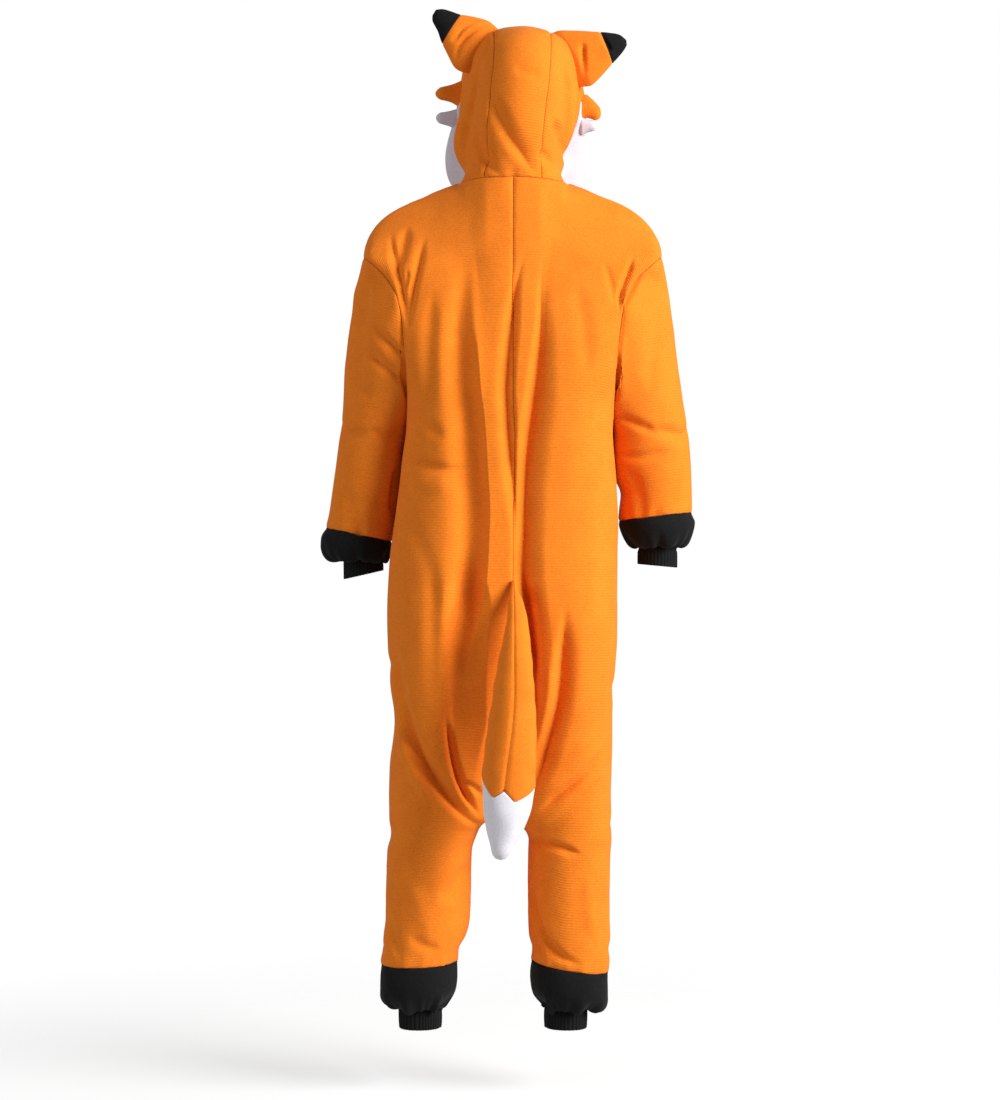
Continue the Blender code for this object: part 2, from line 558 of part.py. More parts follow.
def make_object(name, points, faces, material):
    """A mesh object from points and faces, with smooth shading on its soft sides."""
    mesh = bpy.data.meshes.new(name)
    mesh.from_pydata([tuple(p) for p in points], [], faces)
    mesh.validate()
    mesh.shade_smooth()
    mesh.set_sharp_from_angle(angle=math.radians(50))
    mesh.materials.append(material)
    item = bpy.data.objects.new(name, mesh)
    bpy.data.collections[COLLECTION].objects.link(item)
    return item


def triangles(face, points):
    """A face as triangles, a four-sided one across its shorter diagonal."""
    if len(face) == 3:
        return [tuple(face)]
    a, b, c, d = face
    if np.linalg.norm(points[a] - points[c]) <= np.linalg.norm(points[b] - points[d]):
        return [(a, b, c), (a, c, d)]
    return [(a, b, d), (b, c, d)]


def draw_in(faces, points, normals, gap):
    """Moves the edge of a panel inwards by half the seam gap."""
    inward = {}
    for a, b in edge_loops(faces):
        run = points[b] - points[a]
        run = run / np.linalg.norm(run)
        for v in (a, b):
            side = np.cross(normals[v], run)
            inward.setdefault(v, []).append(side / np.linalg.norm(side))
    moved = {}
    for v, sides in inward.items():
        total = sum(sides)
        reach = max(0.35, 1 + float(sides[0] @ sides[-1]))
        moved[v] = 0.5 * gap * total / reach * (2 / len(sides) if len(sides) == 1 else 1)
    return moved


def wall(skin, name, label, thickness, material, lift=0.0, faces=None):
    """A closed wall from the faces of a panel, built inwards from the skin."""
    faces = faces or skin.panel(label)
    moved = draw_in(faces, skin.points, skin.normals, SEAM_GAP)
    used = sorted({v for face in faces for v in face})
    place = {v: n for n, v in enumerate(used)}
    outer = np.array([skin.points[v] + moved.get(v, 0.0) + lift * skin.normals[v]
                      for v in used])
    inner = outer - thickness * skin.normals[used]
    count = len(used)
    solid = []
    for face in faces:
        for tri in triangles(face, skin.points):
            tri = [place[v] for v in tri]
            solid.append(tuple(tri))
            solid.append(tuple(v + count for v in reversed(tri)))
    for a, b in edge_loops(faces):
        step = skin.points[a] - skin.points[b]
        lean = step @ (skin.normals[a] + skin.normals[b])
        a, b = place[a], place[b]
        if lean < 0:
            solid += [(b, a, b + count), (a, a + count, b + count)]
        else:
            solid += [(b, a, a + count), (b, a + count, b + count)]
    return make_object(name, np.concatenate([outer, inner]), solid, material)


# ---------------------------------------------------------------- stuffed parts

def ordered_loop(faces):
    """The edge of a block of faces as one ring of points, in order."""
    after = dict(edge_loops(faces))
    ring = [min(after)]
    while after[ring[-1]] != ring[0]:
        ring.append(after[ring[-1]])
    return ring


def stuffed(name, points, faces, material):
    """A closed soft form; its faces are turned to point outwards."""
    item = make_object(name, points, faces, material)
    shape = bmesh.new()
    shape.from_mesh(item.data)
    bmesh.ops.recalc_face_normals(shape, faces=shape.faces)
    bmesh.ops.triangulate(shape, faces=shape.faces)
    shape.to_mesh(item.data)
    shape.free()
    item.data.shade_smooth()
    item.data.set_sharp_from_angle(angle=math.radians(50))
    return item


def bridge(first, second, closed=True):
    """Faces between two rings of the same number of points."""
    count = len(first)
    last = count if closed else count - 1
    return [(first[i], first[(i + 1) % count], second[(i + 1) % count], second[i])
            for i in range(last)]


def fan(ring, middle):
    """Faces from a closed ring to a point in its middle."""
    return [(ring[i], ring[(i + 1) % len(ring)], middle) for i in range(len(ring))]


class Form:
    """Points and faces of a form built ring by ring."""

    def __init__(self):
        self.points, self.faces = [], []

    def ring(self, points):
        start = len(self.points)
        self.points += [np.array(p, float) for p in points]
        return list(range(start, len(self.points)))

    def seat(self, skin, faces, lift):
        """Copies a block of the skin, moved out, and returns its edge."""
        used = sorted({v for face in faces for v in face})
        moved = draw_in(faces, skin.points, skin.normals, SEAM_GAP)
        place = self.ring([skin.points[v] + lift * skin.normals[v] + moved.get(v, 0.0)
                           for v in used])
        number = dict(zip(used, place))
        self.faces += [tuple(number[v] for v in reversed(tri)) for face in faces
                       for tri in triangles(face, skin.points)]
        return [number[v] for v in ordered_loop(faces)], number


def flat_cone(name, tip_name, skin, faces, aim, length, wide, thick, split, materials):
    """An ear or tuft: a flat stuffed cone on a block of the hood, with its tip apart."""
    form = Form()
    base, _ = form.seat(skin, faces, SEAT_GAP)
    points = np.array([form.points[v] for v in base])
    centre = points.mean(axis=0)
    aim = np.array(aim, float) / np.linalg.norm(aim)
    thick_axis = np.array((0, 1, 0)) - aim * aim[1]
    thick_axis = thick_axis / np.linalg.norm(thick_axis)
    wide_axis = np.cross(thick_axis, aim)
    raw = np.arctan2((points - centre) @ thick_axis, (points - centre) @ wide_axis)
    turn = 2 * math.pi * np.arange(len(base)) / len(base)
    turn = turn * np.sign(np.sum(np.sin(np.roll(raw, -1) - raw)))
    angle = turn + np.angle(np.exp(1j * (raw - turn)).sum())

    def section(share, shift=0.0):
        half_wide = wide * (1 - share) ** 0.6 + 0.002
        half_thick = thick * (1 - share) ** 0.6 + 0.001
        middle = centre + aim * (length * share + shift)
        return (middle + np.outer(np.cos(angle), wide_axis) * half_wide
                + np.outer(np.sin(angle), thick_axis) * half_thick)

    ring = base
    for share in (0.16, 0.5 * (0.16 + split), split):
        following = form.ring(section(share))
        form.faces += bridge(ring, following)
        ring = following
    form.faces += fan(ring, form.ring([centre + aim * length * split])[0])
    stuffed(name, form.points, form.faces, materials[0])
    if not tip_name:
        return
    tip = Form()
    ring = tip.ring(section(split, SEAM_GAP))
    tip.faces += fan(ring, tip.ring([centre + aim * (length * split + SEAM_GAP)])[0])
    for share in (0.5 * (1 + split), 0.93):
        following = tip.ring(section(share))
        tip.faces += bridge(ring, following)
        ring = following
    tip.faces += fan(ring, tip.ring([centre + aim * length])[0])
    stuffed(tip_name, tip.points, tip.faces, materials[1])


TAIL_ARC = 7            # points round half of the tail
TOOTH = 0.012           # half the height of the zigzag where the white tip begins


def tail_arc(columns, row, side):
    """Half a ring of the tail, from its back seam around its side to its inner seam."""
    seam, back, deep = (read(columns, key, row) for key in ("seam", "back", "deep"))
    edge = read(columns, "left" if side > 0 else "right", row)
    angle = math.pi * np.arange(TAIL_ARC) / (TAIL_ARC - 1)
    across = seam + (edge - seam) * np.sin(angle)
    depth = back + deep * np.cos(angle)
    drop = np.full(TAIL_ARC, read(columns, "drop", row))
    return np.stack([across, depth, -drop], axis=1)


def teeth(points):
    """A ring with every second point up and the others down."""
    raised = points.copy()
    raised[0::2, 2] += TOOTH
    raised[1::2, 2] -= TOOTH
    return raised


def tail_half(skin, side, material):
    side_name = "left" if side > 0 else "right"
    form = Form()
    rows = tuple(TAIL_ROWS)
    faces = skin.block(f"back_{side_name}", rows, (0, 2))
    _, number = form.seat(skin, faces, SEAT_GAP)
    grid = skin.grids[f"back_{side_name}"][0]
    top, middle, foot = grid[rows[0]], grid[rows[0] + 1], grid[rows[1]]
    loop = [top[0], top[1], top[2], middle[2], foot[2], foot[1], foot[0], middle[0]]
    ring = [number[v] for v in loop]
    apart = np.array((side * 0.5 * SEAM_GAP, 0, 0))
    for row in TAIL["row"]:
        arc = tail_arc(TAIL, row, side)
        if row == TAIL["row"][-1]:
            arc = teeth(arc)
        centre = 0.5 * (arc[0] + arc[-1])
        if row == TAIL["row"][-1]:
            centre[2] = -TAIL["drop"][-1]
        following = form.ring(list(arc + apart) + [centre + apart])
        form.faces += bridge(ring, following)
        ring = following
    form.faces += fan(ring[:-1], ring[-1])[:-1]
    stuffed(f"tail_{side_name}", form.points, form.faces, material)


def tail_tip(material):
    form = Form()
    ring = None
    for row in TAIL_TIP["row"]:
        left, right = (tail_arc(TAIL_TIP, row, side) for side in (1, -1))
        if row == 0:
            left, right = teeth(left), teeth(right)
            left[:, 2] -= 2.5 * SEAM_GAP
            right[:, 2] -= 2.5 * SEAM_GAP
        following = form.ring(np.concatenate([left, right[-2:0:-1]]))
        if ring is None:
            centre = 0.5 * (left[0] + left[-1])
            centre[2] = -TAIL_TIP["drop"][0] - 2.5 * SEAM_GAP
            form.faces += fan(following, form.ring([centre])[0])
        else:
            form.faces += bridge(ring, following)
        ring = following
    end = np.mean([form.points[v] for v in ring], axis=0) - np.array((0, 0, 0.004))
    form.faces += fan(ring, form.ring([end])[0])
    stuffed("tail_tip", form.points, form.faces, material)


# ---------------------------------------------------------------- closing

def placket(skin, material):
    """The strip over the centre front, made from the panels' own points, moved out."""
    rows = row_at(skin, "front_left", PLACKET_END)
    faces = [face for side in ("left", "right")
             for face in skin.block(f"front_{side}", (0, rows), (0, 1))]
    wall(skin, "placket", "", FLEECE, material, lift=SEAT_GAP + FLEECE, faces=faces)


def row_at(skin, name, drop):
    """The row of a grid whose first point is nearest to a drop."""
    first = skin.grids[name][0][:, 0]
    return int(np.argmin(abs(skin.points[first, 2] + drop)))


def button(skin, number, drop, material):
    """A flat round button on the placket, just clear of its highest point there."""
    row = row_at(skin, "front_left", drop)
    under = [v for side in ("left", "right")
             for v in skin.grids[f"front_{side}"][0][row - 1:row + 2, :2].flatten()]
    middle = skin.points[skin.grids["front_left"][0][row, 0]]
    normal = skin.normals[skin.grids["front_left"][0][row, 0]]
    near = [v for v in under if abs(skin.points[v][2] - middle[2]) < 4 * BUTTON_RADIUS]
    rise = (skin.points[near] - middle) @ normal
    across = np.linalg.norm(skin.points[near] - middle - np.outer(rise, normal), axis=1)
    height = max(0.0, float((rise * np.minimum(1.0, BUTTON_RADIUS / (across + 1e-6))).max()))
    lift = height + SEAT_GAP + FLEECE + SEAT_GAP + 0.5 * BUTTON_THICKNESS
    bpy.ops.mesh.primitive_cylinder_add(vertices=14, radius=BUTTON_RADIUS,
                                        depth=BUTTON_THICKNESS)
    item = bpy.context.object
    item.name = item.data.name = f"button_{number}"
    item.location = middle + lift * normal
    item.rotation_euler = Vector(normal).to_track_quat("Z", "Y").to_euler()
    edge = item.modifiers.new("rounded edge", "BEVEL")
    edge.width = 0.0007
    edge.segments = 1
    item.data.materials.append(material)
    for home in list(item.users_collection):
        home.objects.unlink(item)
    bpy.data.collections[COLLECTION].objects.link(item)


# ---------------------------------------------------------------- assembly

def make_materials():
    made = {}
    for name, (colour, roughness) in MATERIALS.items():
        material = bpy.data.materials.new(name)
        material.use_nodes = True
        shader = material.node_tree.nodes["Principled BSDF"]
        shader.inputs["Base Color"].default_value = (*colour, 1)
        shader.inputs["Roughness"].default_value = roughness
        shader.inputs["Metallic"].default_value = 0.0
        made[name] = material
    return made


def build_skin():
    """The whole garment as one skin: body, sleeves and hood."""
    skin = Skin()
    for side, side_name in ((1, "left"), (-1, "right")):
        loops = {}
        for face, face_name in ((BACK, "back"), (FRONT, "front")):
            grid, rows, armhole = body_grid(side, face)
            loops[face] = armhole

            def body_label(i, j, rows=rows, face_name=face_name, side_name=side_name):
                return f"{face_name if rows[i] == 'body' else rows[i]}_{side_name}"

            skin.add(f"{face_name}_{side_name}", grid, body_label, flip=side * face < 0)
        loop = np.concatenate([loops[BACK], loops[FRONT][-2:0:-1]])
        grid, rows = sleeve_grid(side, loop)
        skin.add(f"sleeve_{side_name}", grid, lambda i, j: f"{rows[i]}_{side_name}",
                 flip=side > 0, closed=True)
        seam = HOOD_CENTRE_COLUMNS
        cheek = HOOD_CENTRE_COLUMNS + HOOD_SIDE_COLUMNS

        def hood_label(i, j, side_name=side_name):
            if j < seam:
                return "hood_centre"
            if j >= cheek and i < CHEEK_ROWS:
                return f"hood_cheek_{side_name}"
            return f"hood_side_{side_name}"

        skin.add(f"hood_{side_name}", hood_grid(side), hood_label, flip=side > 0)
    skin.finish()
    return skin


def trim(skin, materials):
    """Ears, tufts and tail."""
    orange, black, white = (materials[f"{name}_fleece"] for name in ("orange", "black", "white"))
    for name, grid, rows, columns, aim, length, wide, thick in EARS_AND_TUFTS:
        faces = skin.block(grid, rows, columns)
        kind, side = name.rsplit("_", 1)
        if kind == "ear":
            flat_cone(name, f"ear_tip_{side}", skin, faces, aim, length, wide, thick,
                      EAR_SPLIT, (orange, black))
        else:
            material = orange if kind == "tuft_orange" else white
            flat_cone(name, None, skin, faces, aim, length, wide, thick, TUFT_SPLIT,
                      (material, None))
    tail_half(skin, 1, orange)
    tail_half(skin, -1, orange)
    tail_tip(white)


def main():
    for item in list(bpy.data.objects):
        bpy.data.objects.remove(item)
    collection = bpy.data.collections.new(COLLECTION)
    bpy.context.scene.collection.children.link(collection)
    materials = make_materials()
    skin = build_skin()
    for side, name in ((1, "left"), (-1, "right")):
        relax(skin, section_point(UNDERARM, side, BACK, 1.0, 0.5), UNDERARM_EASE, 2)
        neck_line = skin.grids[f"hood_{name}"][0][0]
        shoulder_line = skin.grids[f"back_{name}"][0][0]
        keep = np.concatenate([neck_line, shoulder_line])
        relax(skin, neck_point(0.5 * math.pi, side), NECK_EASE, 7, keep, along=(0.2, 1, 0.2))
    skin.points = skin.points + fold_shift(skin.points, skin.normals)[:, None] * skin.normals
    skin.measure()
    orange = materials["orange_fleece"]
    wall(skin, "hood_centre", "hood_centre", FLEECE, orange)
    for side in ("left", "right"):
        for part in ("back", "front", "sleeve", "hood_side"):
            wall(skin, f"{part}_{side}", f"{part}_{side}", FLEECE, orange)
        for part in ("sleeve_band", "leg_band"):
            wall(skin, f"{part}_{side}", f"{part}_{side}", FLEECE, materials["black_fleece"])
        for part in ("sleeve_cuff", "leg_cuff"):
            wall(skin, f"{part}_{side}", f"{part}_{side}", RIB, materials["black_rib"])
        wall(skin, f"hood_cheek_{side}", f"hood_cheek_{side}", FLEECE, materials["white_fleece"])
    placket(skin, orange)
    for number, drop in enumerate(BUTTON_DROPS, start=1):
        button(skin, number, drop, materials["button_plastic"])
    trim(skin, materials)


main()
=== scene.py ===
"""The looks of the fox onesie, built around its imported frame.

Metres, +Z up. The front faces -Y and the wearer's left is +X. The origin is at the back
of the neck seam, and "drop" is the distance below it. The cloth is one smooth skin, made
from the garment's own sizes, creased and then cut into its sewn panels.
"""
import itertools
import math

import bmesh
import bpy
import numpy as np
from mathutils import Matrix, Vector
from mathutils.bvhtree import BVHTree
from mathutils.kdtree import KDTree

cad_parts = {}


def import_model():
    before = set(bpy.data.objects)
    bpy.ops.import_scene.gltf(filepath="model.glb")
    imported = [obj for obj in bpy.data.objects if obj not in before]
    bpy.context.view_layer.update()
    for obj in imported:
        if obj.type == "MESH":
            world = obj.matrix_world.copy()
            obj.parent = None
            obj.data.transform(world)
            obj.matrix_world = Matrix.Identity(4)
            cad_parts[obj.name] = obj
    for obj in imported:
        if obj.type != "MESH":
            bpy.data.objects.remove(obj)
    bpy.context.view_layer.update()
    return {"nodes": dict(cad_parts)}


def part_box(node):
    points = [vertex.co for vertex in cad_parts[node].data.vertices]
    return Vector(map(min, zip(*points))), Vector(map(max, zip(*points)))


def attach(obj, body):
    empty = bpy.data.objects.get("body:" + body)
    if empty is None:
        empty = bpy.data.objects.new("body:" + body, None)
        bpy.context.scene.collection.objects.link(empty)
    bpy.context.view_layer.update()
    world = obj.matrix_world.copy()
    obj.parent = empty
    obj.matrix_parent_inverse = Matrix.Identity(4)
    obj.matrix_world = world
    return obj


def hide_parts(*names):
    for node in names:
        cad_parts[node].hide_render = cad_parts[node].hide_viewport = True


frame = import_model()

# Cloth
FLEECE = 0.0025         # thickness of the fleece
RIB = 0.0030            # thickness of the knitted cuffs
EDGE_STRIP = 0.0007     # width of the strip that turns in at a panel's edge
EDGE_TURN = 0.0015      # how far it turns in
SHEET_SHARP, STUFFED_SHARP = math.radians(60), math.radians(50)   # bends that stay crisp

# The skin's cage has FINER times the rows and columns named here, and is then subdivided.
FINER = 2
SUBDIVISIONS = 2
SHOULDER_COLUMNS = 6
BACK_NECK_COLUMNS = 8
FRONT_NECK_ANGLES = (90, 117, 144, 168, 180)
FRONT_NECK_COLUMNS = len(FRONT_NECK_ANGLES) - 1
YOKE_ROWS = 9           # from the shoulder seam to the underarm
HOOD_CENTRE_COLUMNS = 3  # on each half of the centre strip
HOOD_SIDE_COLUMNS = 5
HOOD_CHEEK_COLUMNS = 3
HOOD_COLUMNS = HOOD_CENTRE_COLUMNS + HOOD_SIDE_COLUMNS + HOOD_CHEEK_COLUMNS
BACK, FRONT = 1.0, -1.0
SIDES = ((1, "left"), (-1, "right"))

# Neck and shoulders
NECK_HALF = 0.092       # half the width of the neck seam
NECK_BACK = 0.066       # depth of the neck seam behind the origin
NECK_FRONT = 0.088      # and in front of it
NECK_DIP = 0.055        # how far the neck seam drops at the front
NECK_RISE = 0.003       # and how far it rises at the back
SHOULDER_REACH = 0.257  # from the centre to the sleeve seam
SHOULDER_SLOPE = 0.048
SHOULDER_ROUND = 0.080
YOKE_FILL = 2.0         # how fast the back and chest fill out below the shoulder seam
YOKE_SIDE = 6           # how close to the sleeve seam its own depth stays
FULLNESS = 0.84         # 1 makes elliptical sections, less makes squarer ones
PLACKET_HALF = 0.0145
PLACKET_END = 0.80      # drop of its lower end
UNDERARM_EASE = 0.09    # how far the underarm's rounding reaches
NECK_EASE = 0.25        # and that of the shoulders beside the neck


def table(names, rows):
    """Columns of a table by name, each an array in the order of its rows."""
    data = np.array(rows, float)
    return {name: data[:, i] for i, name in enumerate(names.split())}


# Half of the torso and one leg, from the underarm to the cuff. Sizes across are taken
# from the centre line, which stands at "centre". "mid" is where the section is deepest,
# "inner" is the inseam, front_mid and back_mid are the depths at the centre seams, and
# "seam" is how far the centre-back seam stands aside of the centre line.
UNDERARM, CROTCH, LEG_END = 0.380, 1.075, 1.325
BODY = table(
    "row drop centre half mid inner front front_mid back back_mid seam", [
    (0.380, 0.380, 0.004, 0.1720, 0.055, 0.000, 0.133, 0.133, 0.120, 0.120, -0.003),
    (0.405, 0.405, 0.005, 0.1740, 0.055, 0.000, 0.134, 0.134, 0.119, 0.119, -0.005),
    (0.440, 0.440, 0.007, 0.1765, 0.055, 0.000, 0.134, 0.134, 0.117, 0.117, -0.009),
    (0.510, 0.510, 0.008, 0.183, 0.055, 0.000, 0.134, 0.134, 0.115, 0.114, -0.009),
    (0.575, 0.575, 0.011, 0.189, 0.058, 0.000, 0.133, 0.133, 0.119, 0.117, -0.012),
    (0.645, 0.645, 0.017, 0.193, 0.062, 0.000, 0.131, 0.130, 0.127, 0.123, -0.018),
    (0.745, 0.745, 0.019, 0.195, 0.074, 0.000, 0.127, 0.123, 0.132, 0.124, -0.019),
    (0.850, 0.850, 0.019, 0.191, 0.088, 0.000, 0.119, 0.108, 0.127, 0.108, -0.015),
    (0.915, 0.915, 0.017, 0.185, 0.096, 0.000, 0.113, 0.094, 0.119, 0.092, -0.010),
    (0.985, 0.985, 0.021, 0.188, 0.104, 0.000, 0.107, 0.071, 0.110, 0.070, -0.005),
    (1.040, 1.040, 0.022, 0.187, 0.110, 0.000, 0.101, 0.040, 0.102, 0.040, -0.001),
    (1.075, 1.075, 0.021, 0.187, 0.112, 0.000, 0.096, 0.000, 0.096, 0.000, 0.000),
    (1.098, 1.098, 0.019, 0.187, 0.113, 0.034, 0.092, 0.000, 0.091, 0.000, 0.000),
    (1.135, 1.135, 0.022, 0.187, 0.116, 0.047, 0.087, 0.000, 0.085, 0.000, 0.000),
    (1.190, 1.190, 0.023, 0.188, 0.118, 0.048, 0.080, 0.000, 0.080, 0.000, 0.000),
    (1.255, 1.255, 0.024, 0.190, 0.120, 0.050, 0.077, 0.000, 0.077, 0.000, 0.000),
    (1.300, 1.300, 0.029, 0.195, 0.125, 0.059, 0.075, 0.000, 0.075, 0.000, 0.000),
    (1.325, 1.325, 0.031, 0.193, 0.127, 0.064, 0.073, 0.000, 0.074, 0.000, 0.000),
    (1.345, 1.345, 0.032, 0.194, 0.127, 0.062, 0.075, 0.000, 0.076, 0.000, 0.000),
    (1.370, 1.370, 0.032, 0.194, 0.126, 0.064, 0.073, 0.000, 0.074, 0.000, 0.000),
    (1.392, 1.390, 0.033, 0.189, 0.125, 0.077, 0.064, 0.000, 0.064, 0.000, 0.000),
    (1.410, 1.403, 0.034, 0.176, 0.124, 0.086, 0.052, 0.000, 0.052, 0.000, 0.000),
    (1.425, 1.400, 0.034, 0.160, 0.124, 0.088, 0.041, 0.000, 0.041, 0.000, 0.000),
    (1.440, 1.416, 0.034, 0.160, 0.124, 0.087, 0.041, 0.000, 0.041, 0.000, 0.000),
    (1.460, 1.436, 0.034, 0.159, 0.124, 0.088, 0.040, 0.000, 0.040, 0.000, 0.000)])
BAND_END, CUFF_END = 1.425, 1.460
TAIL_TOP, TAIL_FOOT = 0.670, 0.710  # where the tail is sewn on
TAIL_ROOT_HALF = 0.011
BODY_STOPS = (UNDERARM, TAIL_TOP, TAIL_FOOT, 0.99, CROTCH, 1.135, LEG_END, 1.392,
              BAND_END, CUFF_END)
BODY_COUNTS = (8, 2, 7, 4, 3, 6, 3, 2, 2)  # rows of the skin between those places
LEG_BAND_TILT = {"left": 0.004, "right": 0.020}  # how much lower the outside of a band is
LEG_BAND_LOW = {"left": 0.001, "right": 0.007}   # and how much lower the whole of it is
LEG_BAND_REACH = 0.10   # and how far above and below its seam both still show

# The sleeve seam on the body, from the shoulder tip to the underarm.
ARMHOLE = table(
    "share  out    drop   deep", [
    (0.00, 0.257, 0.128, 0.000),
    (0.15, 0.233, 0.148, 0.040),
    (0.35, 0.204, 0.180, 0.072),
    (0.55, 0.188, 0.215, 0.088),
    (0.75, 0.180, 0.288, 0.082),
    (0.90, 0.176, 0.348, 0.050),
    (1.00, 0.173, 0.380, 0.000)])

# Each sleeve, from the sleeve seam to the cuff: the place of its outer and inner edge,
# half its depth and how far forward it hangs.
SLEEVE_END, SLEEVE_BAND_END, SLEEVE_CUFF_END = 1.00, 1.36, 1.60
SLEEVE_STOPS = (0.0, SLEEVE_END, 1.28, SLEEVE_BAND_END, SLEEVE_CUFF_END)
SLEEVE_COUNTS = (11, 3, 1, 2)   # rows of the skin between those places
SLEEVE_SEAM_REACH = 0.45        # rows over which the armhole's own form fades out
SLEEVE_NAMES = "row   outer  outer_drop inner inner_drop deep forward"
SLEEVE = {
    "left": table(SLEEVE_NAMES, [
        (0.00, 0.257, 0.128, 0.173, 0.380, 0.088, 0.000),
        (0.09, 0.266, 0.165, 0.1805, 0.385, 0.087, 0.001),
        (0.18, 0.278, 0.205, 0.1775, 0.396, 0.085, 0.006),
        (0.34, 0.288, 0.300, 0.1775, 0.420, 0.078, 0.030),
        (0.52, 0.292, 0.390, 0.1845, 0.454, 0.074, 0.047),
        (0.70, 0.303, 0.470, 0.1900, 0.512, 0.070, 0.056),
        (0.86, 0.313, 0.535, 0.2000, 0.566, 0.067, 0.064),
        (1.00, 0.322, 0.588, 0.2090, 0.612, 0.063, 0.069),
        (1.10, 0.331, 0.604, 0.2090, 0.622, 0.066, 0.070),
        (1.18, 0.330, 0.622, 0.2120, 0.634, 0.064, 0.071),
        (1.28, 0.314, 0.643, 0.2180, 0.647, 0.053, 0.073),
        (1.36, 0.293, 0.641, 0.2250, 0.643, 0.038, 0.074),
        (1.45, 0.292, 0.655, 0.2240, 0.650, 0.037, 0.075),
        (1.60, 0.292, 0.676, 0.2240, 0.661, 0.037, 0.077)]),
    "right": table(SLEEVE_NAMES, [
        (0.00, 0.257, 0.128, 0.173, 0.380, 0.088, 0.000),
        (0.09, 0.264, 0.160, 0.1780, 0.385, 0.087, 0.001),
        (0.18, 0.269, 0.195, 0.1730, 0.396, 0.085, 0.006),
        (0.34, 0.279, 0.280, 0.1690, 0.418, 0.078, 0.030),
        (0.52, 0.291, 0.365, 0.1680, 0.446, 0.074, 0.046),
        (0.70, 0.303, 0.440, 0.1710, 0.496, 0.070, 0.056),
        (0.82, 0.307, 0.488, 0.1860, 0.528, 0.067, 0.062),
        (0.91, 0.309, 0.526, 0.1830, 0.552, 0.066, 0.066),
        (1.00, 0.309, 0.562, 0.1820, 0.576, 0.063, 0.069),
        (1.10, 0.316, 0.578, 0.1850, 0.590, 0.066, 0.070),
        (1.18, 0.310, 0.598, 0.1920, 0.605, 0.064, 0.071),
        (1.28, 0.297, 0.619, 0.2050, 0.620, 0.053, 0.073),
        (1.36, 0.283, 0.622, 0.2170, 0.622, 0.038, 0.074),
        (1.45, 0.284, 0.634, 0.2160, 0.630, 0.037, 0.075),
        (1.60, 0.284, 0.656, 0.2160, 0.650, 0.037, 0.077)])}

# The hood in hoops from the neck seam over the crown to the forehead. "edge" is the hoop's
# end on the face opening, "top" its middle, and "turn" how far round it goes in degrees.
HOOD = table(
    "row   edge_out edge_y edge_z top_y top_z  turn  lean", [
    (0.00, 0.030, -0.0835, -0.054, 0.066, 0.003, 160, 0.000),
    (0.12, 0.084, -0.116, -0.022, 0.084, 0.030, 108, -0.001),
    (0.24, 0.117, -0.134, 0.018, 0.100, 0.064, 86, -0.003),
    (0.37, 0.124, -0.136, 0.064, 0.111, 0.106, 83, -0.006),
    (0.50, 0.115, -0.128, 0.112, 0.113, 0.152, 88, -0.011),
    (0.62, 0.108, -0.120, 0.152, 0.102, 0.196, 95, -0.015),
    (0.74, 0.102, -0.114, 0.180, 0.076, 0.236, 100, -0.016),
    (0.86, 0.096, -0.110, 0.200, 0.026, 0.259, 102, -0.015),
    (1.00, 0.086, -0.106, 0.214, -0.086, 0.248, 102, -0.014)])
# Its right side is drawn in above the neck where the cheek panel begins, and spreads out
# at the face opening, as shares of its half width.
CHEEK_SPREAD = table(
    "row   drawn  spread", [
    (0.00, 0.00, 0.00), (0.12, 0.02, 0.13), (0.18, 0.12, 0.20), (0.24, 0.17, 0.24),
    (0.30, 0.10, 0.22), (0.37, 0.05, 0.19), (0.50, 0.00, 0.13), (0.62, 0.00, 0.05),
    (0.74, 0.00, 0.00), (1.00, 0.00, 0.00)])
HOOD_ROWS = 13
HOOD_STRIP = 0.0485     # half the width of the hood's centre strip
HOOD_DIP_REACH = 0.6    # hoops up to here follow the dip of the neck seam ever less
CHEEK_ROWS = 7          # hood rows, from the neck, in which the cheek panels lie

# ---------------------------------------------------------------- creases

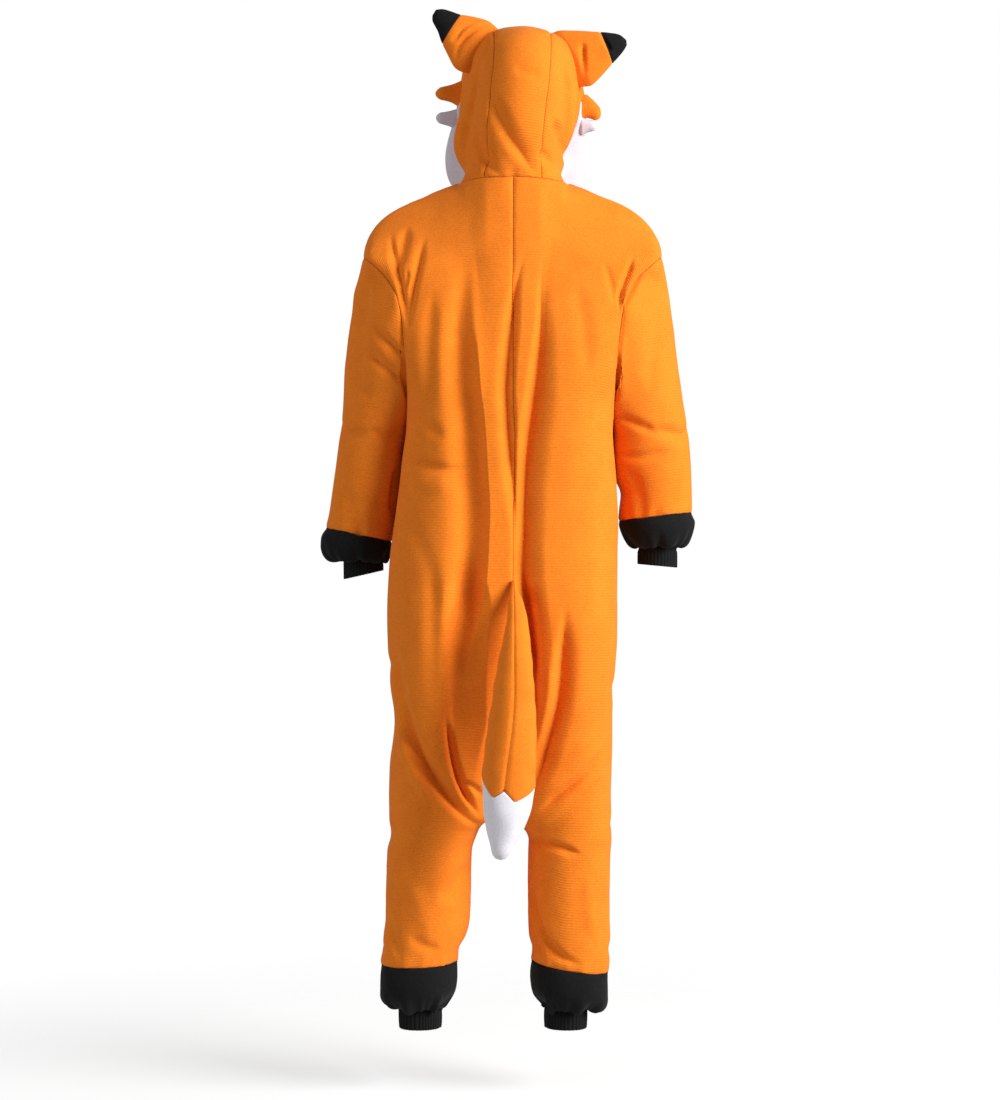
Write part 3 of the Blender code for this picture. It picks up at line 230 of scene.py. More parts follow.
# Each crease is seen from one side of the garment and given by places along it, as
# (across, drop) from the origin; from the left or right, "across" is Y. A depth above 0 is
# a trough and below 0 a ridge. It has one width on its +X (or +Y) side and one on the
# other: a number for a soft side, or a number and the name of its form. "where" names the
# panels that it shapes. This table alone is in millimetres.
MILLIMETRES = 1000      # in a metre
BODY_PANELS = ("back", "front")
CREASES = (    # view, where, and rows of width, other width, depth and places
    # the back, hanging from the shoulder blades and pulled by the tail
    ("back", BODY_PANELS, (
        (24, (31, "crest"), 16.5, (80, 126), (85, 187), (90, 253), (88, 295), (85, 361),
         (78, 419), (73, 502), (70, 563), (73, 645), (77, 708), (85, 775), (93, 874)),
        (18, (52, "crest"), 15, (75, 601), (85, 692), (93, 775), (97, 857), (95, 940),
         (83, 1031)),
        (12, (18, "valley"), 9.5, (-24, 119), (-13, 156), (-4, 195), (2, 245), (7, 291),
         (11, 344), (11, 377), (6, 460), (-1, 543), (-4, 642)),
        (11, (40, "valley"), 16.5, (-51, 126), (-47, 195), (-46, 253), (-39, 336), (-31, 397),
         (-23, 460), (-19, 521), (-16, 604), (-14, 659), (-21, 725), (-29, 808), (-37, 907),
         (-37, 1023)),
        (14, 14, 2.5, (-104, 172), (-119, 262), (-124, 344)),
        (13, 13, 4.5, (133, 187), (140, 286), (143, 410)),
        (6, 6, 2.5, (-150, 139), (-165, 185), (-170, 228)),
        # beside the sleeve seams
        (8, (11, "valley"), 6.5, (207, 86), (197, 139), (185, 192), (175, 259)),
        (8, 9, 5, (177, 76), (185, 119), (194, 162)),
        (4, 4, 3, (175, 156), (180, 192)),
        (7, (12, "valley"), 6, (147, 94), (158, 150), (168, 200), (175, 260)))),
    ("back", ("back_right", "sleeve_right"), (
        (6, (9, "valley"), 6, (-203, 128), (-192, 168), (-180, 198), (-177, 232)),)),
    # the waist and the left seat
    ("back", BODY_PANELS, (
        ((14, "valley"), 9, 4.5, (181, 470), (138, 486), (102, 491), (75, 483)),
        (14, 16, -3, (185, 503), (138, 516), (95, 523)),
        (11, 11, 3, (166, 383), (142, 418), (112, 443)),
        (14, 14, 2.2, (193, 539), (168, 592), (142, 650), (125, 742)),
        (13, 13, 3.5, (133, 642), (133, 741), (131, 841), (125, 910)),
        # left leg, folds running down to the crotch
        (10, (28, "valley"), 16.5, (208, 739), (203, 808), (193, 888), (167, 950), (142, 993),
         (112, 1035), (72, 1078), (32, 1104)),
        (8, 8, -4.5, (195, 915), (172, 979), (149, 1029), (129, 1067)),
        (6, (14, "valley"), 14, (117, 883), (107, 944), (97, 987), (82, 1027), (52, 1077)),
        (6, (10, "valley"), 5, (90, 1008), (79, 1015), (62, 1025), (49, 1041)),
        (12, 16, 5, (65, 1146), (99, 1193), (126, 1223)),
        (14, 14, -2, (182, 1177), (159, 1210), (139, 1277)),
        (8, 10, 3, (176, 1268), (142, 1290), (116, 1295)),
        (7, 8, 3, (207, 1238), (197, 1288), (186, 1317)),
        # right leg
        (12, (32, "valley"), 15, (-87, 709), (-84, 791), (-77, 866), (-59, 937), (-41, 999),
         (-21, 1065)),
        (7, (26, "valley"), 13, (-11, 652), (-16, 708), (-24, 775), (-33, 857)),
        (10, 10, -2, (-59, 808), (-56, 874), (-41, 953)),
        (9, (13, "valley"), 6.5, (-159, 951), (-129, 991), (-81, 1030), (-38, 1066)),
        (9, 11, 2.5, (-147, 1008), (-108, 1044), (-64, 1084), (-31, 1111)),
        (7, (14, "valley"), 6.5, (-15, 1119), (-45, 1116), (-78, 1123), (-118, 1136)),
        (9, (14, "valley"), 8.5, (-28, 1163), (-33, 1218), (-46, 1263), (-73, 1300),
         (-122, 1322)),
        (6, 7, 5, (-23, 1235), (-33, 1277), (-53, 1314)),
        (12, 14, -2, (-122, 1161), (-129, 1228), (-139, 1287)))),
    # the front, in the same manner
    ("front", BODY_PANELS, (
        (18, 14, 12, (78, 150), (86, 300), (80, 480), (74, 640), (80, 800)),
        (12, 10, -5, (50, 240), (52, 420), (50, 600)),
        (13, 18, 13, (-72, 160), (-82, 320), (-74, 500), (-70, 700), (-78, 850)),
        (16, 18, -5, (-110, 200), (-120, 380), (-114, 560)),
        (14, 16, 6, (125, 180), (130, 340), (120, 480)),
        (12, 14, 12, (204, 820), (170, 900), (120, 990), (60, 1070)),
        (10, 9, 8, (200, 900), (160, 980), (110, 1045), (70, 1085)),
        (10, 12, 8, (150, 780), (120, 890), (80, 985), (40, 1050)),
        (12, 13, 12, (-164, 840), (-130, 920), (-80, 1000), (-20, 1075)),
        (9, 10, 8, (-160, 930), (-120, 995), (-70, 1050), (-30, 1090)),
        (12, 10, 8, (-110, 780), (-80, 880), (-45, 970), (-5, 1045)),
        (10, 12, 7, (186, 500), (140, 530), (90, 536)),
        (11, 10, 7, (-168, 470), (-120, 505), (-80, 512)),
        (8, 7, 7, (200, 120), (186, 180), (172, 250)),
        (7, 8, 7, (-202, 120), (-186, 180), (-172, 250)),
        (8, 7, 5, (160, 130), (156, 190), (158, 260)),
        (8, 7, 5, (-158, 130), (-156, 190), (-158, 250)),
        (10, 12, 7, (204, 1130), (150, 1150), (100, 1140)),
        (10, 12, 7, (-30, 1130), (-80, 1145), (-140, 1130)),
        (9, 12, 8, (208, 1225), (170, 1285), (130, 1312)),
        (9, 12, 8, (-40, 1240), (-80, 1290), (-130, 1308)),
        (12, 14, -4, (150, 1190), (148, 1260), (156, 1310)))),
    # the sides of the body and legs
    ("left", BODY_PANELS, (
        (14, 16, 2.5, (-60, 760), (0, 820), (60, 800)),
        (14, 16, 2.5, (-60, 1080), (0, 1110), (60, 1100)),
        (12, 14, 2.5, (-40, 1270), (10, 1300), (50, 1290)))),
    ("right", BODY_PANELS, (
        (14, 16, 2.5, (-60, 820), (0, 860), (60, 850)),
        (14, 16, 2.5, (-60, 1060), (0, 1090), (60, 1100)),
        (12, 14, 2.5, (-40, 1285), (10, 1300), (50, 1300)))),
    # left sleeve
    ("back", ("sleeve_left",), (
        (10, (10, "valley"), 6, (237, 240), (217, 268), (195, 290), (171, 309)),
        (10, (11, "valley"), 6, (257, 283), (225, 315), (197, 337), (170, 359)),
        (12, 12, 3, (274, 324), (257, 349), (240, 377)),
        (10, (13, "valley"), 4.5, (247, 417), (227, 431), (207, 434), (180, 410)),
        (6, 6, 3.5, (206, 154), (186, 195), (178, 257)),
        (14, 12, 3, (241, 155), (254, 256), (271, 373)),
        (7, 9, 6, (194, 471), (202, 525), (207, 575)),
        (12, 12, 3, (288, 508), (268, 575), (255, 634)))),
    ("front", ("sleeve_left",), (
        (9, 12, 10, (268, 380), (232, 402), (192, 385)),
        (8, 10, 8, (284, 420), (240, 438), (198, 430)),
        (10, 9, 7, (230, 250), (205, 300), (186, 340)),
        (9, 10, 7, (292, 500), (256, 545), (220, 560)))),
    ("left", ("sleeve_left",), (
        (10, 10, 6, (-60, 400), (-20, 430), (40, 425)),
        (12, 12, 5, (0, 180), (-10, 260), (-30, 340)))),
    # right sleeve
    ("back", ("sleeve_right",), (
        (7, (9, "valley"), 5, (-219, 154), (-202, 187), (-185, 221)),
        (9, (11, "valley"), 5.5, (-165, 400), (-186, 405), (-213, 417), (-250, 431)),
        (9, (12, "valley"), 4, (-170, 454), (-196, 468), (-230, 468), (-274, 457)),
        (10, 10, 3, (-176, 484), (-203, 501), (-217, 542), (-223, 592)),
        (14, 14, 3, (-247, 205), (-240, 289), (-227, 373)),
        (8, 8, 5, (-166, 282), (-172, 340), (-166, 391)))),
    ("front", ("sleeve_right",), (
        (9, 12, 10, (-170, 380), (-210, 405), (-264, 390)),
        (9, 10, 8, (-182, 430), (-220, 445), (-276, 420)),
        (10, 9, 7, (-190, 330), (-208, 290), (-232, 240)),
        (10, 10, 7, (-200, 540), (-240, 520), (-280, 480)))),
    ("right", ("sleeve_right",), (
        (10, 10, 6, (-60, 410), (-20, 430), (40, 420)),)),
    # hood
    ("back", ("hood_centre", "hood_side"), (
        (10, (30, "valley"), 9, (82, -184), (78, -127), (74, -84), (62, -49), (42, -21), (12, 5)),
        (10, (27, "valley"), 6.5, (39, -147), (32, -112), (20, -84), (4, -58), (-16, -34),
         (-44, 2)),
        (5, (10, "valley"), 4, (89, -129), (85, -86), (75, -43), (55, -9)),
        (8, 9, 5.5, (-69, -102), (-79, -68), (-93, -44), (-104, -29)),
        (8, 8, 3.5, (-46, -46), (-69, -18)),
        (8, 8, 2, (2, -177), (-25, -167), (-51, -161)),
        (12, 12, 4, (55, -209), (69, -168), (66, -129)))),
    ("left", ("hood_side", "hood_cheek"), (
        (12, 10, 6, (50, -200), (20, -120), (0, -30)),
        (10, 10, 5, (-10, -150), (-40, -80), (-50, -10)))),
    ("right", ("hood_side", "hood_cheek"), (
        (12, 10, 6, (50, -200), (25, -120), (0, -30)),
        (10, 10, 5, (-10, -150), (-35, -80), (-50, -10)))),
    ("front", ("hood_cheek",), (
        (8, 8, 4, (100, -110), (90, -60), (60, -10)),
        (8, 8, 4, (-100, -110), (-92, -60), (-62, -10)))))

UNDERARM_FULL = ((0.050, 0.080, 0.060), 0.005)   # reach and height
SHOULDER_FULL = ((0.080, 0.080, 0.060), 0.006)
FULLER = (              # where the cloth stands out or in: panels, middle, reach and height
    (("hood_",), (0.115, -0.045, 0.060), (0.060, 0.090, 0.055), 0.004),
    (("back_left", "sleeve_left"), (0.182, 0.010, -0.375), *UNDERARM_FULL),
    (("front_left",), (0.182, -0.010, -0.375), *UNDERARM_FULL),
    (("back_right", "sleeve_right"), (-0.176, 0.010, -0.375), *UNDERARM_FULL),
    (("front_right",), (-0.176, -0.010, -0.375), *UNDERARM_FULL),
    (("back_left", "front_left"), (0.095, -0.030, -0.010), *SHOULDER_FULL),
    (("back_right", "front_right"), (-0.100, -0.030, -0.010), *SHOULDER_FULL),
    (("back_left", "front_left"), (0.226, 0.000, -1.180), (0.080, 0.120, 0.220), 0.004),
    (("leg_band_left",), (0.212, 0.000, -1.412), (0.035, 0.100, 0.035), -0.008),
    (("leg_band_right",), (-0.046, 0.000, -1.410), (0.035, 0.100, 0.035), -0.008),
    (("leg_band_right",), (-0.148, 0.000, -1.405), (0.030, 0.100, 0.030), 0.005))
CREASE_STRENGTH = 1.35  # the creases' depths are multiplied by this
CREASE_ENDS = 0.3       # share of a crease over which each end fades out
CREASE_TIP = 0.4        # share of its width that is left there
CREASE_TURNS_OFF = 0.55  # how squarely the cloth faces the eye where a crease is whole

# Gathers where a band meets its cuff: how many round the ring, how deep, and their phase.
LEG_GATHERS = ((7, 0.0032, 0.4), (12, 0.0020, 1.9), (19, 0.0012, 0.7))
SLEEVE_GATHERS = ((6, 0.0022, 1.1), (11, 0.0016, 0.2), (17, 0.0010, 2.3))
GATHERED = (            # band, the gathers' middle row and reach; the panels above, their
    # edge's row, the share of the gathers that goes on there, and how far; the waves
    (("leg_band",), 1.402, 0.040, ("back", "front"), LEG_END, 0.35, 0.030, LEG_GATHERS),
    (("sleeve_band",), 1.27, 0.17, ("sleeve_left", "sleeve_right"), SLEEVE_END, 0.4, 0.10,
     SLEEVE_GATHERS))
RIBBED = (              # cuff, the row of its band's end, how soon its ribs rise, their count
    (("leg_cuff",), BAND_END, 0.004, 40),
    (("sleeve_cuff",), SLEEVE_BAND_END, 0.02, 36))
RIB_RELIEF = 0.0008     # half the height of the cuffs' ribs
UNEVEN = (              # uneven cloth: wave length along X, Y and Z, and its height
    ((0.085, 0.085, 0.190), 0.0020),
    ((0.040, 0.040, 0.075), 0.0009),
    ((0.019, 0.019, 0.028), 0.0003))
YOKE_MIDDLE = (0.0, 0.10, -0.10)
YOKE_EASE = 0.20        # how far the yoke's back is evened out round its middle
# Beside the neck the back's cloth slopes evenly across, from NECK_SIDE to OUTER_SIDE. The
# depth at each is given at the neck seam's height, with what each metre of drop adds.
NECK_SIDE, NECK_SIDE_DEPTH = 0.045, (0.064, 0.19)
OUTER_SIDE, OUTER_SIDE_DEPTH = 0.160, (-0.010, 0.62)
FILL_ROUNDING = 0.004   # how softly that slope meets the cloth round it
FILL_DEPTH = 0.03       # it is whole from this depth on
FILL_TOP = 0.02         # and from this drop
FILL_FOOT, FILL_FOOT_FADE = 0.11, 0.07   # down to this drop, where it starts to fade
SEAM_PUCKER, SEAM_PUCKER_REACH = 0.0007, 0.007   # height of the puckers along the seams
PUCKER_LENGTH, PUCKER_SEED = 0.013, 9
SEAM_SINK, SEAM_SINK_REACH = 0.0016, 0.0035   # how far the cloth is drawn in at a seam


# The tail, from its root on the centre-back seam to its tip: the place of its two outer
# edges, its seam and its middle, and half its depth.
TAIL = table(
    "row   drop   left   right   seam   back   deep", [
    (-3.0, 0.676, 0.0020, -0.0030, -0.001, 0.1265, 0.0030),
    (-2.0, 0.692, 0.0060, -0.0075, -0.001, 0.1345, 0.0080),
    (-1.0, 0.712, 0.0085, -0.0160, -0.001, 0.1500, 0.0140),
    (0.0, 0.733, 0.0110, -0.0215, -0.001, 0.164, 0.018),
    (1.0, 0.765, 0.0160, -0.0258, -0.001, 0.177, 0.026),
    (2.0, 0.805, 0.0240, -0.0303, -0.001, 0.185, 0.032),
    (3.0, 0.855, 0.0330, -0.0345, -0.001, 0.190, 0.036),
    (4.0, 0.915, 0.0420, -0.0370, 0.003, 0.191, 0.039),
    (5.0, 0.975, 0.0490, -0.0365, 0.011, 0.190, 0.040),
    (6.0, 1.018, 0.0515, -0.0355, 0.016, 0.189, 0.039)])
TAIL_TIP = table(
    "row   drop   left   right   seam   back   deep", [
    (0.0, 1.018, 0.0515, -0.0355, 0.016, 0.189, 0.039),
    (1.0, 1.048, 0.0495, -0.0290, 0.013, 0.189, 0.037),
    (2.0, 1.080, 0.0440, -0.0160, 0.014, 0.188, 0.031),
    (3.0, 1.106, 0.0385, -0.0010, 0.019, 0.187, 0.023),
    (3.6, 1.120, 0.0355, 0.0065, 0.021, 0.187, 0.017),
    (4.0, 1.128, 0.0300, 0.0125, 0.0215, 0.187, 0.010)])
TEETH = {               # the zigzag where the white begins: height at angles from the back
    "left": ((0, 29, 88, 125, 180), (0.003, -0.008, 0.024, -0.010, 0.004)),
    "right": ((0, 20, 86, 128, 180), (0.003, -0.015, 0.009, -0.012, 0.004))}
SEAM_PINCH = 0.0022     # how far the tail's back is pulled in at its seam
SEAM_PINCH_ANGLE = 0.08
TAIL_AROUND = 48        # faces round each half of the tail
TAIL_RINGS, TIP_RINGS = 92, 40
ZIGZAG_ABOVE, ZIGZAG_BELOW = 1.4, 1.3   # rows over which the zigzag evens out
TIP_GAP = 0.0006        # between the orange and the white, where they are sewn together
TIP_END = 0.003         # how far the tip reaches past its last ring
TAIL_SQUARENESS = 0.92  # 1 makes elliptical sections
TAIL_SEAM = 0.97        # how far the tail is drawn in where the white begins
TAIL_UNEVEN = (0.0011, (0.026, 0.026, 0.034), 31)   # height, wave length and seed
TIP_UNEVEN = (0.0012, (0.026, 0.026, 0.030), 33)
TAIL_FOLD_DEPTH = 0.0005
TAIL_FOLDS, TAIL_FOLDS_SLANT = 150, 100   # waves of the folds, down and across, in radians

# Ears: places of the upper and lower edge from the root to the tip, as (across, drop), and
# the creases pressed in. EAR_THICK is half the thickness at each pair of places.
EARS = {    # pairs of edges, and creases: places, width and depth
    "left": ((
        ((0.022, -0.256), (0.085, -0.185)), ((0.039, -0.270), (0.098, -0.192)),
        ((0.056, -0.276), (0.108, -0.208)), ((0.088, -0.283), (0.120, -0.233)),
        ((0.103, -0.288), (0.127, -0.254)), ((0.119, -0.292), (0.136, -0.271)),
        ((0.131, -0.291), (0.137, -0.281))), (
        (((0.039, -0.265), (0.068, -0.251), (0.090, -0.229), (0.098, -0.198)), 0.0045, 0.0080),
        (((0.063, -0.270), (0.083, -0.258), (0.098, -0.239)), 0.0040, 0.0045))),
    "right": ((
        ((-0.065, -0.255), (-0.126, -0.164)), ((-0.080, -0.260), (-0.135, -0.167)),
        ((-0.106, -0.259), (-0.148, -0.179)), ((-0.148, -0.257), (-0.169, -0.203)),
        ((-0.166, -0.255), (-0.179, -0.214)), ((-0.182, -0.252), (-0.189, -0.226)),
        ((-0.193, -0.244), (-0.194, -0.234))), (
        (((-0.119, -0.231), (-0.119, -0.210), (-0.121, -0.186)), 0.0040, 0.0070),
        (((-0.150, -0.258), (-0.155, -0.243), (-0.164, -0.227)), 0.0035, 0.0055)))}
EAR_THICK = (0.0130, 0.0175, 0.0175, 0.0145, 0.0115, 0.0075, 0.0020)
EAR_SPLIT = 3           # the pair at which the black tip begins
EAR_STEPS = 10          # rings from pair to pair
EAR_AROUND = 56         # faces round an ear
EAR_UNEVEN = ((0.03, 0.03, 0.03), 0.0012, 21)       # wave length, height and seed
EAR_SEAM = 0.955        # how far the ear is drawn in at the tip's seam
TUFTS = {               # upper and lower end of the root, tip, lobe's radius, upward bend
    "tuft_orange_left": ((0.086, -0.182), (0.091, -0.134), (0.133, -0.158), 0.0129, 0.0000),
    "tuft_white_left": ((0.089, -0.134), (0.096, -0.095), (0.132, -0.117), 0.0120, 0.0000),
    "tuft_orange_right": ((-0.126, -0.158), (-0.107, -0.110), (-0.150, -0.118), 0.0146, 0.0043),
    "tuft_white_right": ((-0.117, -0.119), (-0.117, -0.086), (-0.144, -0.103), 0.0103, 0.0000)}
TUFT_SHAPE = ((0.38, 1.0, 0.0105), (0.66, 0.93, 0.0095), (0.82, 0.80, 0.0080),
              (0.93, 0.52, 0.0050), (1.0, 0.20, 0.0015))    # along, width, half thickness
TUFT_ROOT = 0.0110      # half the thickness of a tuft's root
TUFT_AROUND, TUFT_STEPS = 32, 8
TUFT_UNEVEN = ((0.02, 0.02, 0.02), 0.0006, 23)
SEWN_SINK = 0.001       # how deep the base of an ear or a tuft lies in the cloth

BUTTON_RADIUS, BUTTON_THICKNESS = 0.009, 0.0035
PLACKET_LIFT = FLEECE + 0.0004   # of the placket's face above the seam line's skin
BUTTON_DISH = 0.0013    # how deep its middle lies below its rim
BUTTON_SHARP = math.radians(40)
BUTTON_LIFT = 0.0002    # of its back above the placket
BUTTONS = 6
BUTTON_HOLE = 0.00085   # radius of a hole
BUTTON_HOLE_PLACE = 0.0017  # its distance from the middle, across and down
THREAD_RADIUS, THREAD_APART = 0.00032, 0.0003   # threads lie in pairs
STITCH_RADIUS, STITCH_LIFT = 0.00035, 0.0002
STITCH_LENGTH, STITCH_GAP = 0.0028, 0.0012
STITCH_LINE = 0.0105    # the placket's stitches lie so far beside the centre front
STITCH_DROPS = (0.075, 0.785, 0.004)   # first and last drop of their line, and its steps
ORANGE = ((0.71, 0.158, 0.009), (0.81, 0.194, 0.012), (0.88, 0.230, 0.017))
# The two whites are one cloth: the first is darkened as painted shade for the brightly lit cheeks
# and white tufts, the second is lightened as painted light for the less lit tail tip.
WHITE_PAINTED_SHADE = ((0.51, 0.485, 0.545), (0.58, 0.555, 0.615), (0.63, 0.61, 0.665))
TIP_WHITE_PAINTED_LIGHT = ((0.68, 0.655, 0.72), (0.76, 0.735, 0.80), (0.81, 0.79, 0.84))
BLACK = ((0.004, 0.004, 0.0045), (0.0065, 0.0065, 0.007), (0.010, 0.010, 0.011))
BLACK_RIB = ((0.004, 0.004, 0.0045), (0.009, 0.009, 0.010))
WARM = (1.0, 0.60, 0.30)   # tint of the orange nap's sheen
FLEECE_ROWS = 69.8      # knit rows in the wave texture's scale, about 4.5 mm apart
RIB_ROWS = 210.0
KNIT_SHARE = 0.22       # how much the rows lighten the orange

# Stage
FLOOR = -1.545          # where the wearer's heels would stand
FLOOR_REACH = 3.0
FLOOR_SPOT = 1.6        # how far from the middle it has faded out
FLOOR_SHOWN = 0.75      # how solid it is in the middle
CAMERA_X, CAMERA_Z = 0.0221, -0.6256
CAMERA_DISTANCE = 4.5
VIEW_HEIGHT = 1.87      # seen at the garment
WORLD_LIGHT = 0.27
LIGHT_AIM = Vector((0.0, 0.0, -0.62))
LIGHTS = (              # name, place, power and size
    ("key", (-3.6, 2.2, 1.0), 370.0, 3.0),
    ("fill", (3.4, 1.2, 0.3), 40.0, 2.4),
    ("front", (0.4, -3.4, 0.8), 34.0, 2.4))


def smooth(key, values, at):
    """Smooth curve through the rows of a table that doesn't overshoot them."""
    at = np.clip(np.asarray(at, float), key[0], key[-1])
    step = np.diff(key)
    slope = np.diff(values) / step
    tangent = np.zeros(len(key))
    tangent[0], tangent[-1] = slope[0], slope[-1]
    turn = slope[:-1] * slope[1:] > 0
    weight_a = 2 * step[1:] + step[:-1]
    weight_b = step[1:] + 2 * step[:-1]
    safe_a = np.where(turn, slope[:-1], 1.0)
    safe_b = np.where(turn, slope[1:], 1.0)
    mean = (weight_a + weight_b) / (weight_a / safe_a + weight_b / safe_b)
    tangent[1:-1] = np.where(turn, mean, 0.0)
    i = np.clip(np.searchsorted(key, at, side="right") - 1, 0, len(step) - 1)
    t = (at - key[i]) / step[i]
    return (values[i] * (1 + 2 * t) * (1 - t) ** 2 + values[i + 1] * t * t * (3 - 2 * t)
            + step[i] * (tangent[i] * t * (1 - t) ** 2 + tangent[i + 1] * t * t * (t - 1)))


def read(columns, name, at, key="row"):
    """One column of a table at any place along it."""
    return smooth(columns[key], columns[name], at)


def spread(stops, counts):
    """Values from stop to stop, each stretch divided evenly."""
    parts = [np.linspace(a, b, n + 1)[:-1] for a, b, n in zip(stops, stops[1:], counts)]
    return np.concatenate(parts + [[stops[-1]]])


def fade(t):
    """1 at t = 0, falling smoothly to 0 at t = 1."""
    t = np.clip(t, 0.0, 1.0)
    return 1 - t * t * (3 - 2 * t)


# ---------------------------------------------------------------- the body

def neck_angle(column):
    """The angle of a neck column, counted from the centre back."""
    if column <= BACK_NECK_COLUMNS:
        return 0.5 * math.pi * column / BACK_NECK_COLUMNS
    places = np.arange(FRONT_NECK_COLUMNS + 1) + BACK_NECK_COLUMNS
    return math.radians(np.interp(column, places, FRONT_NECK_ANGLES))


def neck_point(angle, side):
    """The neck seam: angle 0 at the centre back, 90 degrees at the side, 180 in front."""
    reach = NECK_BACK if math.cos(angle) > 0 else NECK_FRONT
    front = max(0.0, -math.cos(angle))
    drop = -NECK_RISE * max(0.0, math.cos(angle)) + NECK_DIP * front ** 1.5
    return np.array((side * NECK_HALF * math.sin(angle), reach * math.cos(angle), -drop))


def shoulder_point(t, side):
    """The shoulder seam, from the neck to the top of the sleeve seam."""
    t = math.sin(0.5 * math.pi * t)
    out = NECK_HALF + (SHOULDER_REACH - NECK_HALF) * t
    drop = SHOULDER_SLOPE * t + SHOULDER_ROUND * (1 - math.sqrt(max(0.0, 1 - t ** 4)))
    return np.array((side * out, 0.0, -drop))


def section_point(row, side, face, t, flat):
    """A point of the torso or a leg: t is 0 at the centre seam or inseam, 1 at the side."""
    name = "back" if face == BACK else "front"
    deep, deep_mid = read(BODY, name, row), read(BODY, name + "_mid", row)
    mid, inner, half = (read(BODY, key, row) for key in ("mid", "inner", "half"))
    shut = 1 - deep_mid / deep
    if t < flat:
        a = 0.5 * math.pi * t / flat
        across = inner + (mid - inner) * ((1 - shut) * t / flat + shut * (1 - math.cos(a)))
        depth = deep_mid + (deep - deep_mid) * math.sin(a)
    else:
        a = 0.5 * math.pi * (t - flat) / (1 - flat)
        across = mid + (half - mid) * math.sin(a) ** FULLNESS
        depth = deep * max(0.0, math.cos(a)) ** FULLNESS
    side_name = "left" if side > 0 else "right"
    slant = LEG_BAND_TILT[side_name] * (across - mid) / (half - inner)
    lower = slant + LEG_BAND_LOW[side_name]
    drop = read(BODY, "drop", row) + lower * fade(abs(LEG_END - row) / LEG_BAND_REACH)
    aside = read(BODY, "seam", row) * fade(t) if face == BACK else 0.0
    x = read(BODY, "centre", row) + side * across + aside
    return np.array((x, face * depth, -drop))


def centre_line(t, face):
    """The centre seam from the neck to the underarm's height."""
    top = neck_point(0.0 if face == BACK else math.pi, 1)
    end = section_point(UNDERARM, 1, face, 0.0, 0.5)
    bulge = math.sin(0.5 * math.pi * min(1.0, 1.15 * t)) ** 0.9
    return np.array((top[0] + (end[0] - top[0]) * t, top[1] + (end[1] - top[1]) * bulge,
                     top[2] + (end[2] - top[2]) * t))


def armhole_point(share, side, face):
    end = section_point(UNDERARM, side, face, 1.0, 0.5)
    out = read(ARMHOLE, "out", share, "share")
    gap = (abs(end[0]) - ARMHOLE["out"][-1]) * share
    depth = read(ARMHOLE, "deep", share, "share")
    return np.array((side * (out + gap), face * depth, -read(ARMHOLE, "drop", share, "share")))


def coons(top, bottom, left, right):
    """A surface between four curves that share their ends; its depth fills out fastest."""
    u = np.linspace(0, 1, len(top))[None, :, None]
    v = np.linspace(0, 1, len(left))[:, None, None]
    upper = (1 - v) ** np.array((1, YOKE_FILL, 1))
    reach = u ** np.array((1, YOKE_SIDE, 1))
    ruled = upper * top[None] + (1 - upper) * bottom[None]
    sides = (1 - u) * left[:, None] + reach * right[:, None]
    corners = (upper * ((1 - u) * top[0] + reach * top[-1])
               + (1 - upper) * ((1 - u) * bottom[0] + reach * bottom[-1]))
    return ruled + sides - corners


def body_grid(side, face):
    """One quarter of the body, from neck to cuff and from its centre seam to its side."""
    neck_columns = BACK_NECK_COLUMNS if face == BACK else FRONT_NECK_COLUMNS
    columns = neck_columns + SHOULDER_COLUMNS
    flat = neck_columns / columns
    all_columns = BACK_NECK_COLUMNS + FRONT_NECK_COLUMNS
    neck = [neck_point(neck_angle(j / FINER if face == BACK else all_columns - j / FINER), side)
            for j in range(neck_columns * FINER)]
    shoulder = [shoulder_point(t, side) for t in np.linspace(0, 1, SHOULDER_COLUMNS * FINER + 1)]
    rows = spread(BODY_STOPS, [FINER * count for count in BODY_COUNTS])
    whole = np.arange(columns + 1)

    def across_shares(row):
        shares = whole / columns
        if face == FRONT:
            shares[1] = flat * min(1 / neck_columns, PLACKET_HALF / read(BODY, "mid", row))
        else:
            shares[1:3] = flat * 0.5 * whole[1:3] * TAIL_ROOT_HALF / read(BODY, "mid", row)
        return np.interp(np.arange(columns * FINER + 1) / FINER, whole, shares)

    lower = np.array([[section_point(row, side, face, share, flat)
                       for share in across_shares(row)] for row in rows])
    shares = np.linspace(0, 1, YOKE_ROWS * FINER + 1)
    middle = np.array([centre_line(t, face) for t in shares])
    armhole = np.array([armhole_point(t, side, face) for t in shares])
    armhole[0], armhole[-1] = shoulder[-1], lower[0][-1]
    upper = coons(np.array(neck + shoulder), lower[0], middle, armhole)
    grid = np.concatenate([upper[:-1], lower])
    heights = np.concatenate([shares[:-1] * UNDERARM, rows])
    return grid, heights, armhole


# ---------------------------------------------------------------- sleeves and hood

def sleeve_grid(side, loop):
    """A sleeve around from its shoulder tip by the back, the underarm and the front."""
    columns = SLEEVE["left" if side > 0 else "right"]
    rows = spread(SLEEVE_STOPS, [FINER * count for count in SLEEVE_COUNTS])
    count = len(loop)
    angle = 2 * math.pi * np.arange(count) / count

    def ring(row):
        share = 0.5 + 0.5 * np.cos(angle)
        outer, inner = read(columns, "outer", row), read(columns, "inner", row)
        across = inner + (outer - inner) * share
        high, low = read(columns, "outer_drop", row), read(columns, "inner_drop", row)
        drop = low + (high - low) * share
        depth = read(columns, "deep", row) * np.sin(angle)
        depth = depth - read(columns, "forward", row)
        return np.stack([side * across, depth, -drop], axis=1)

    start = loop - ring(0.0)
    grid = np.array([ring(row) + start * fade(row / SLEEVE_SEAM_REACH) for row in rows])
    return grid, rows


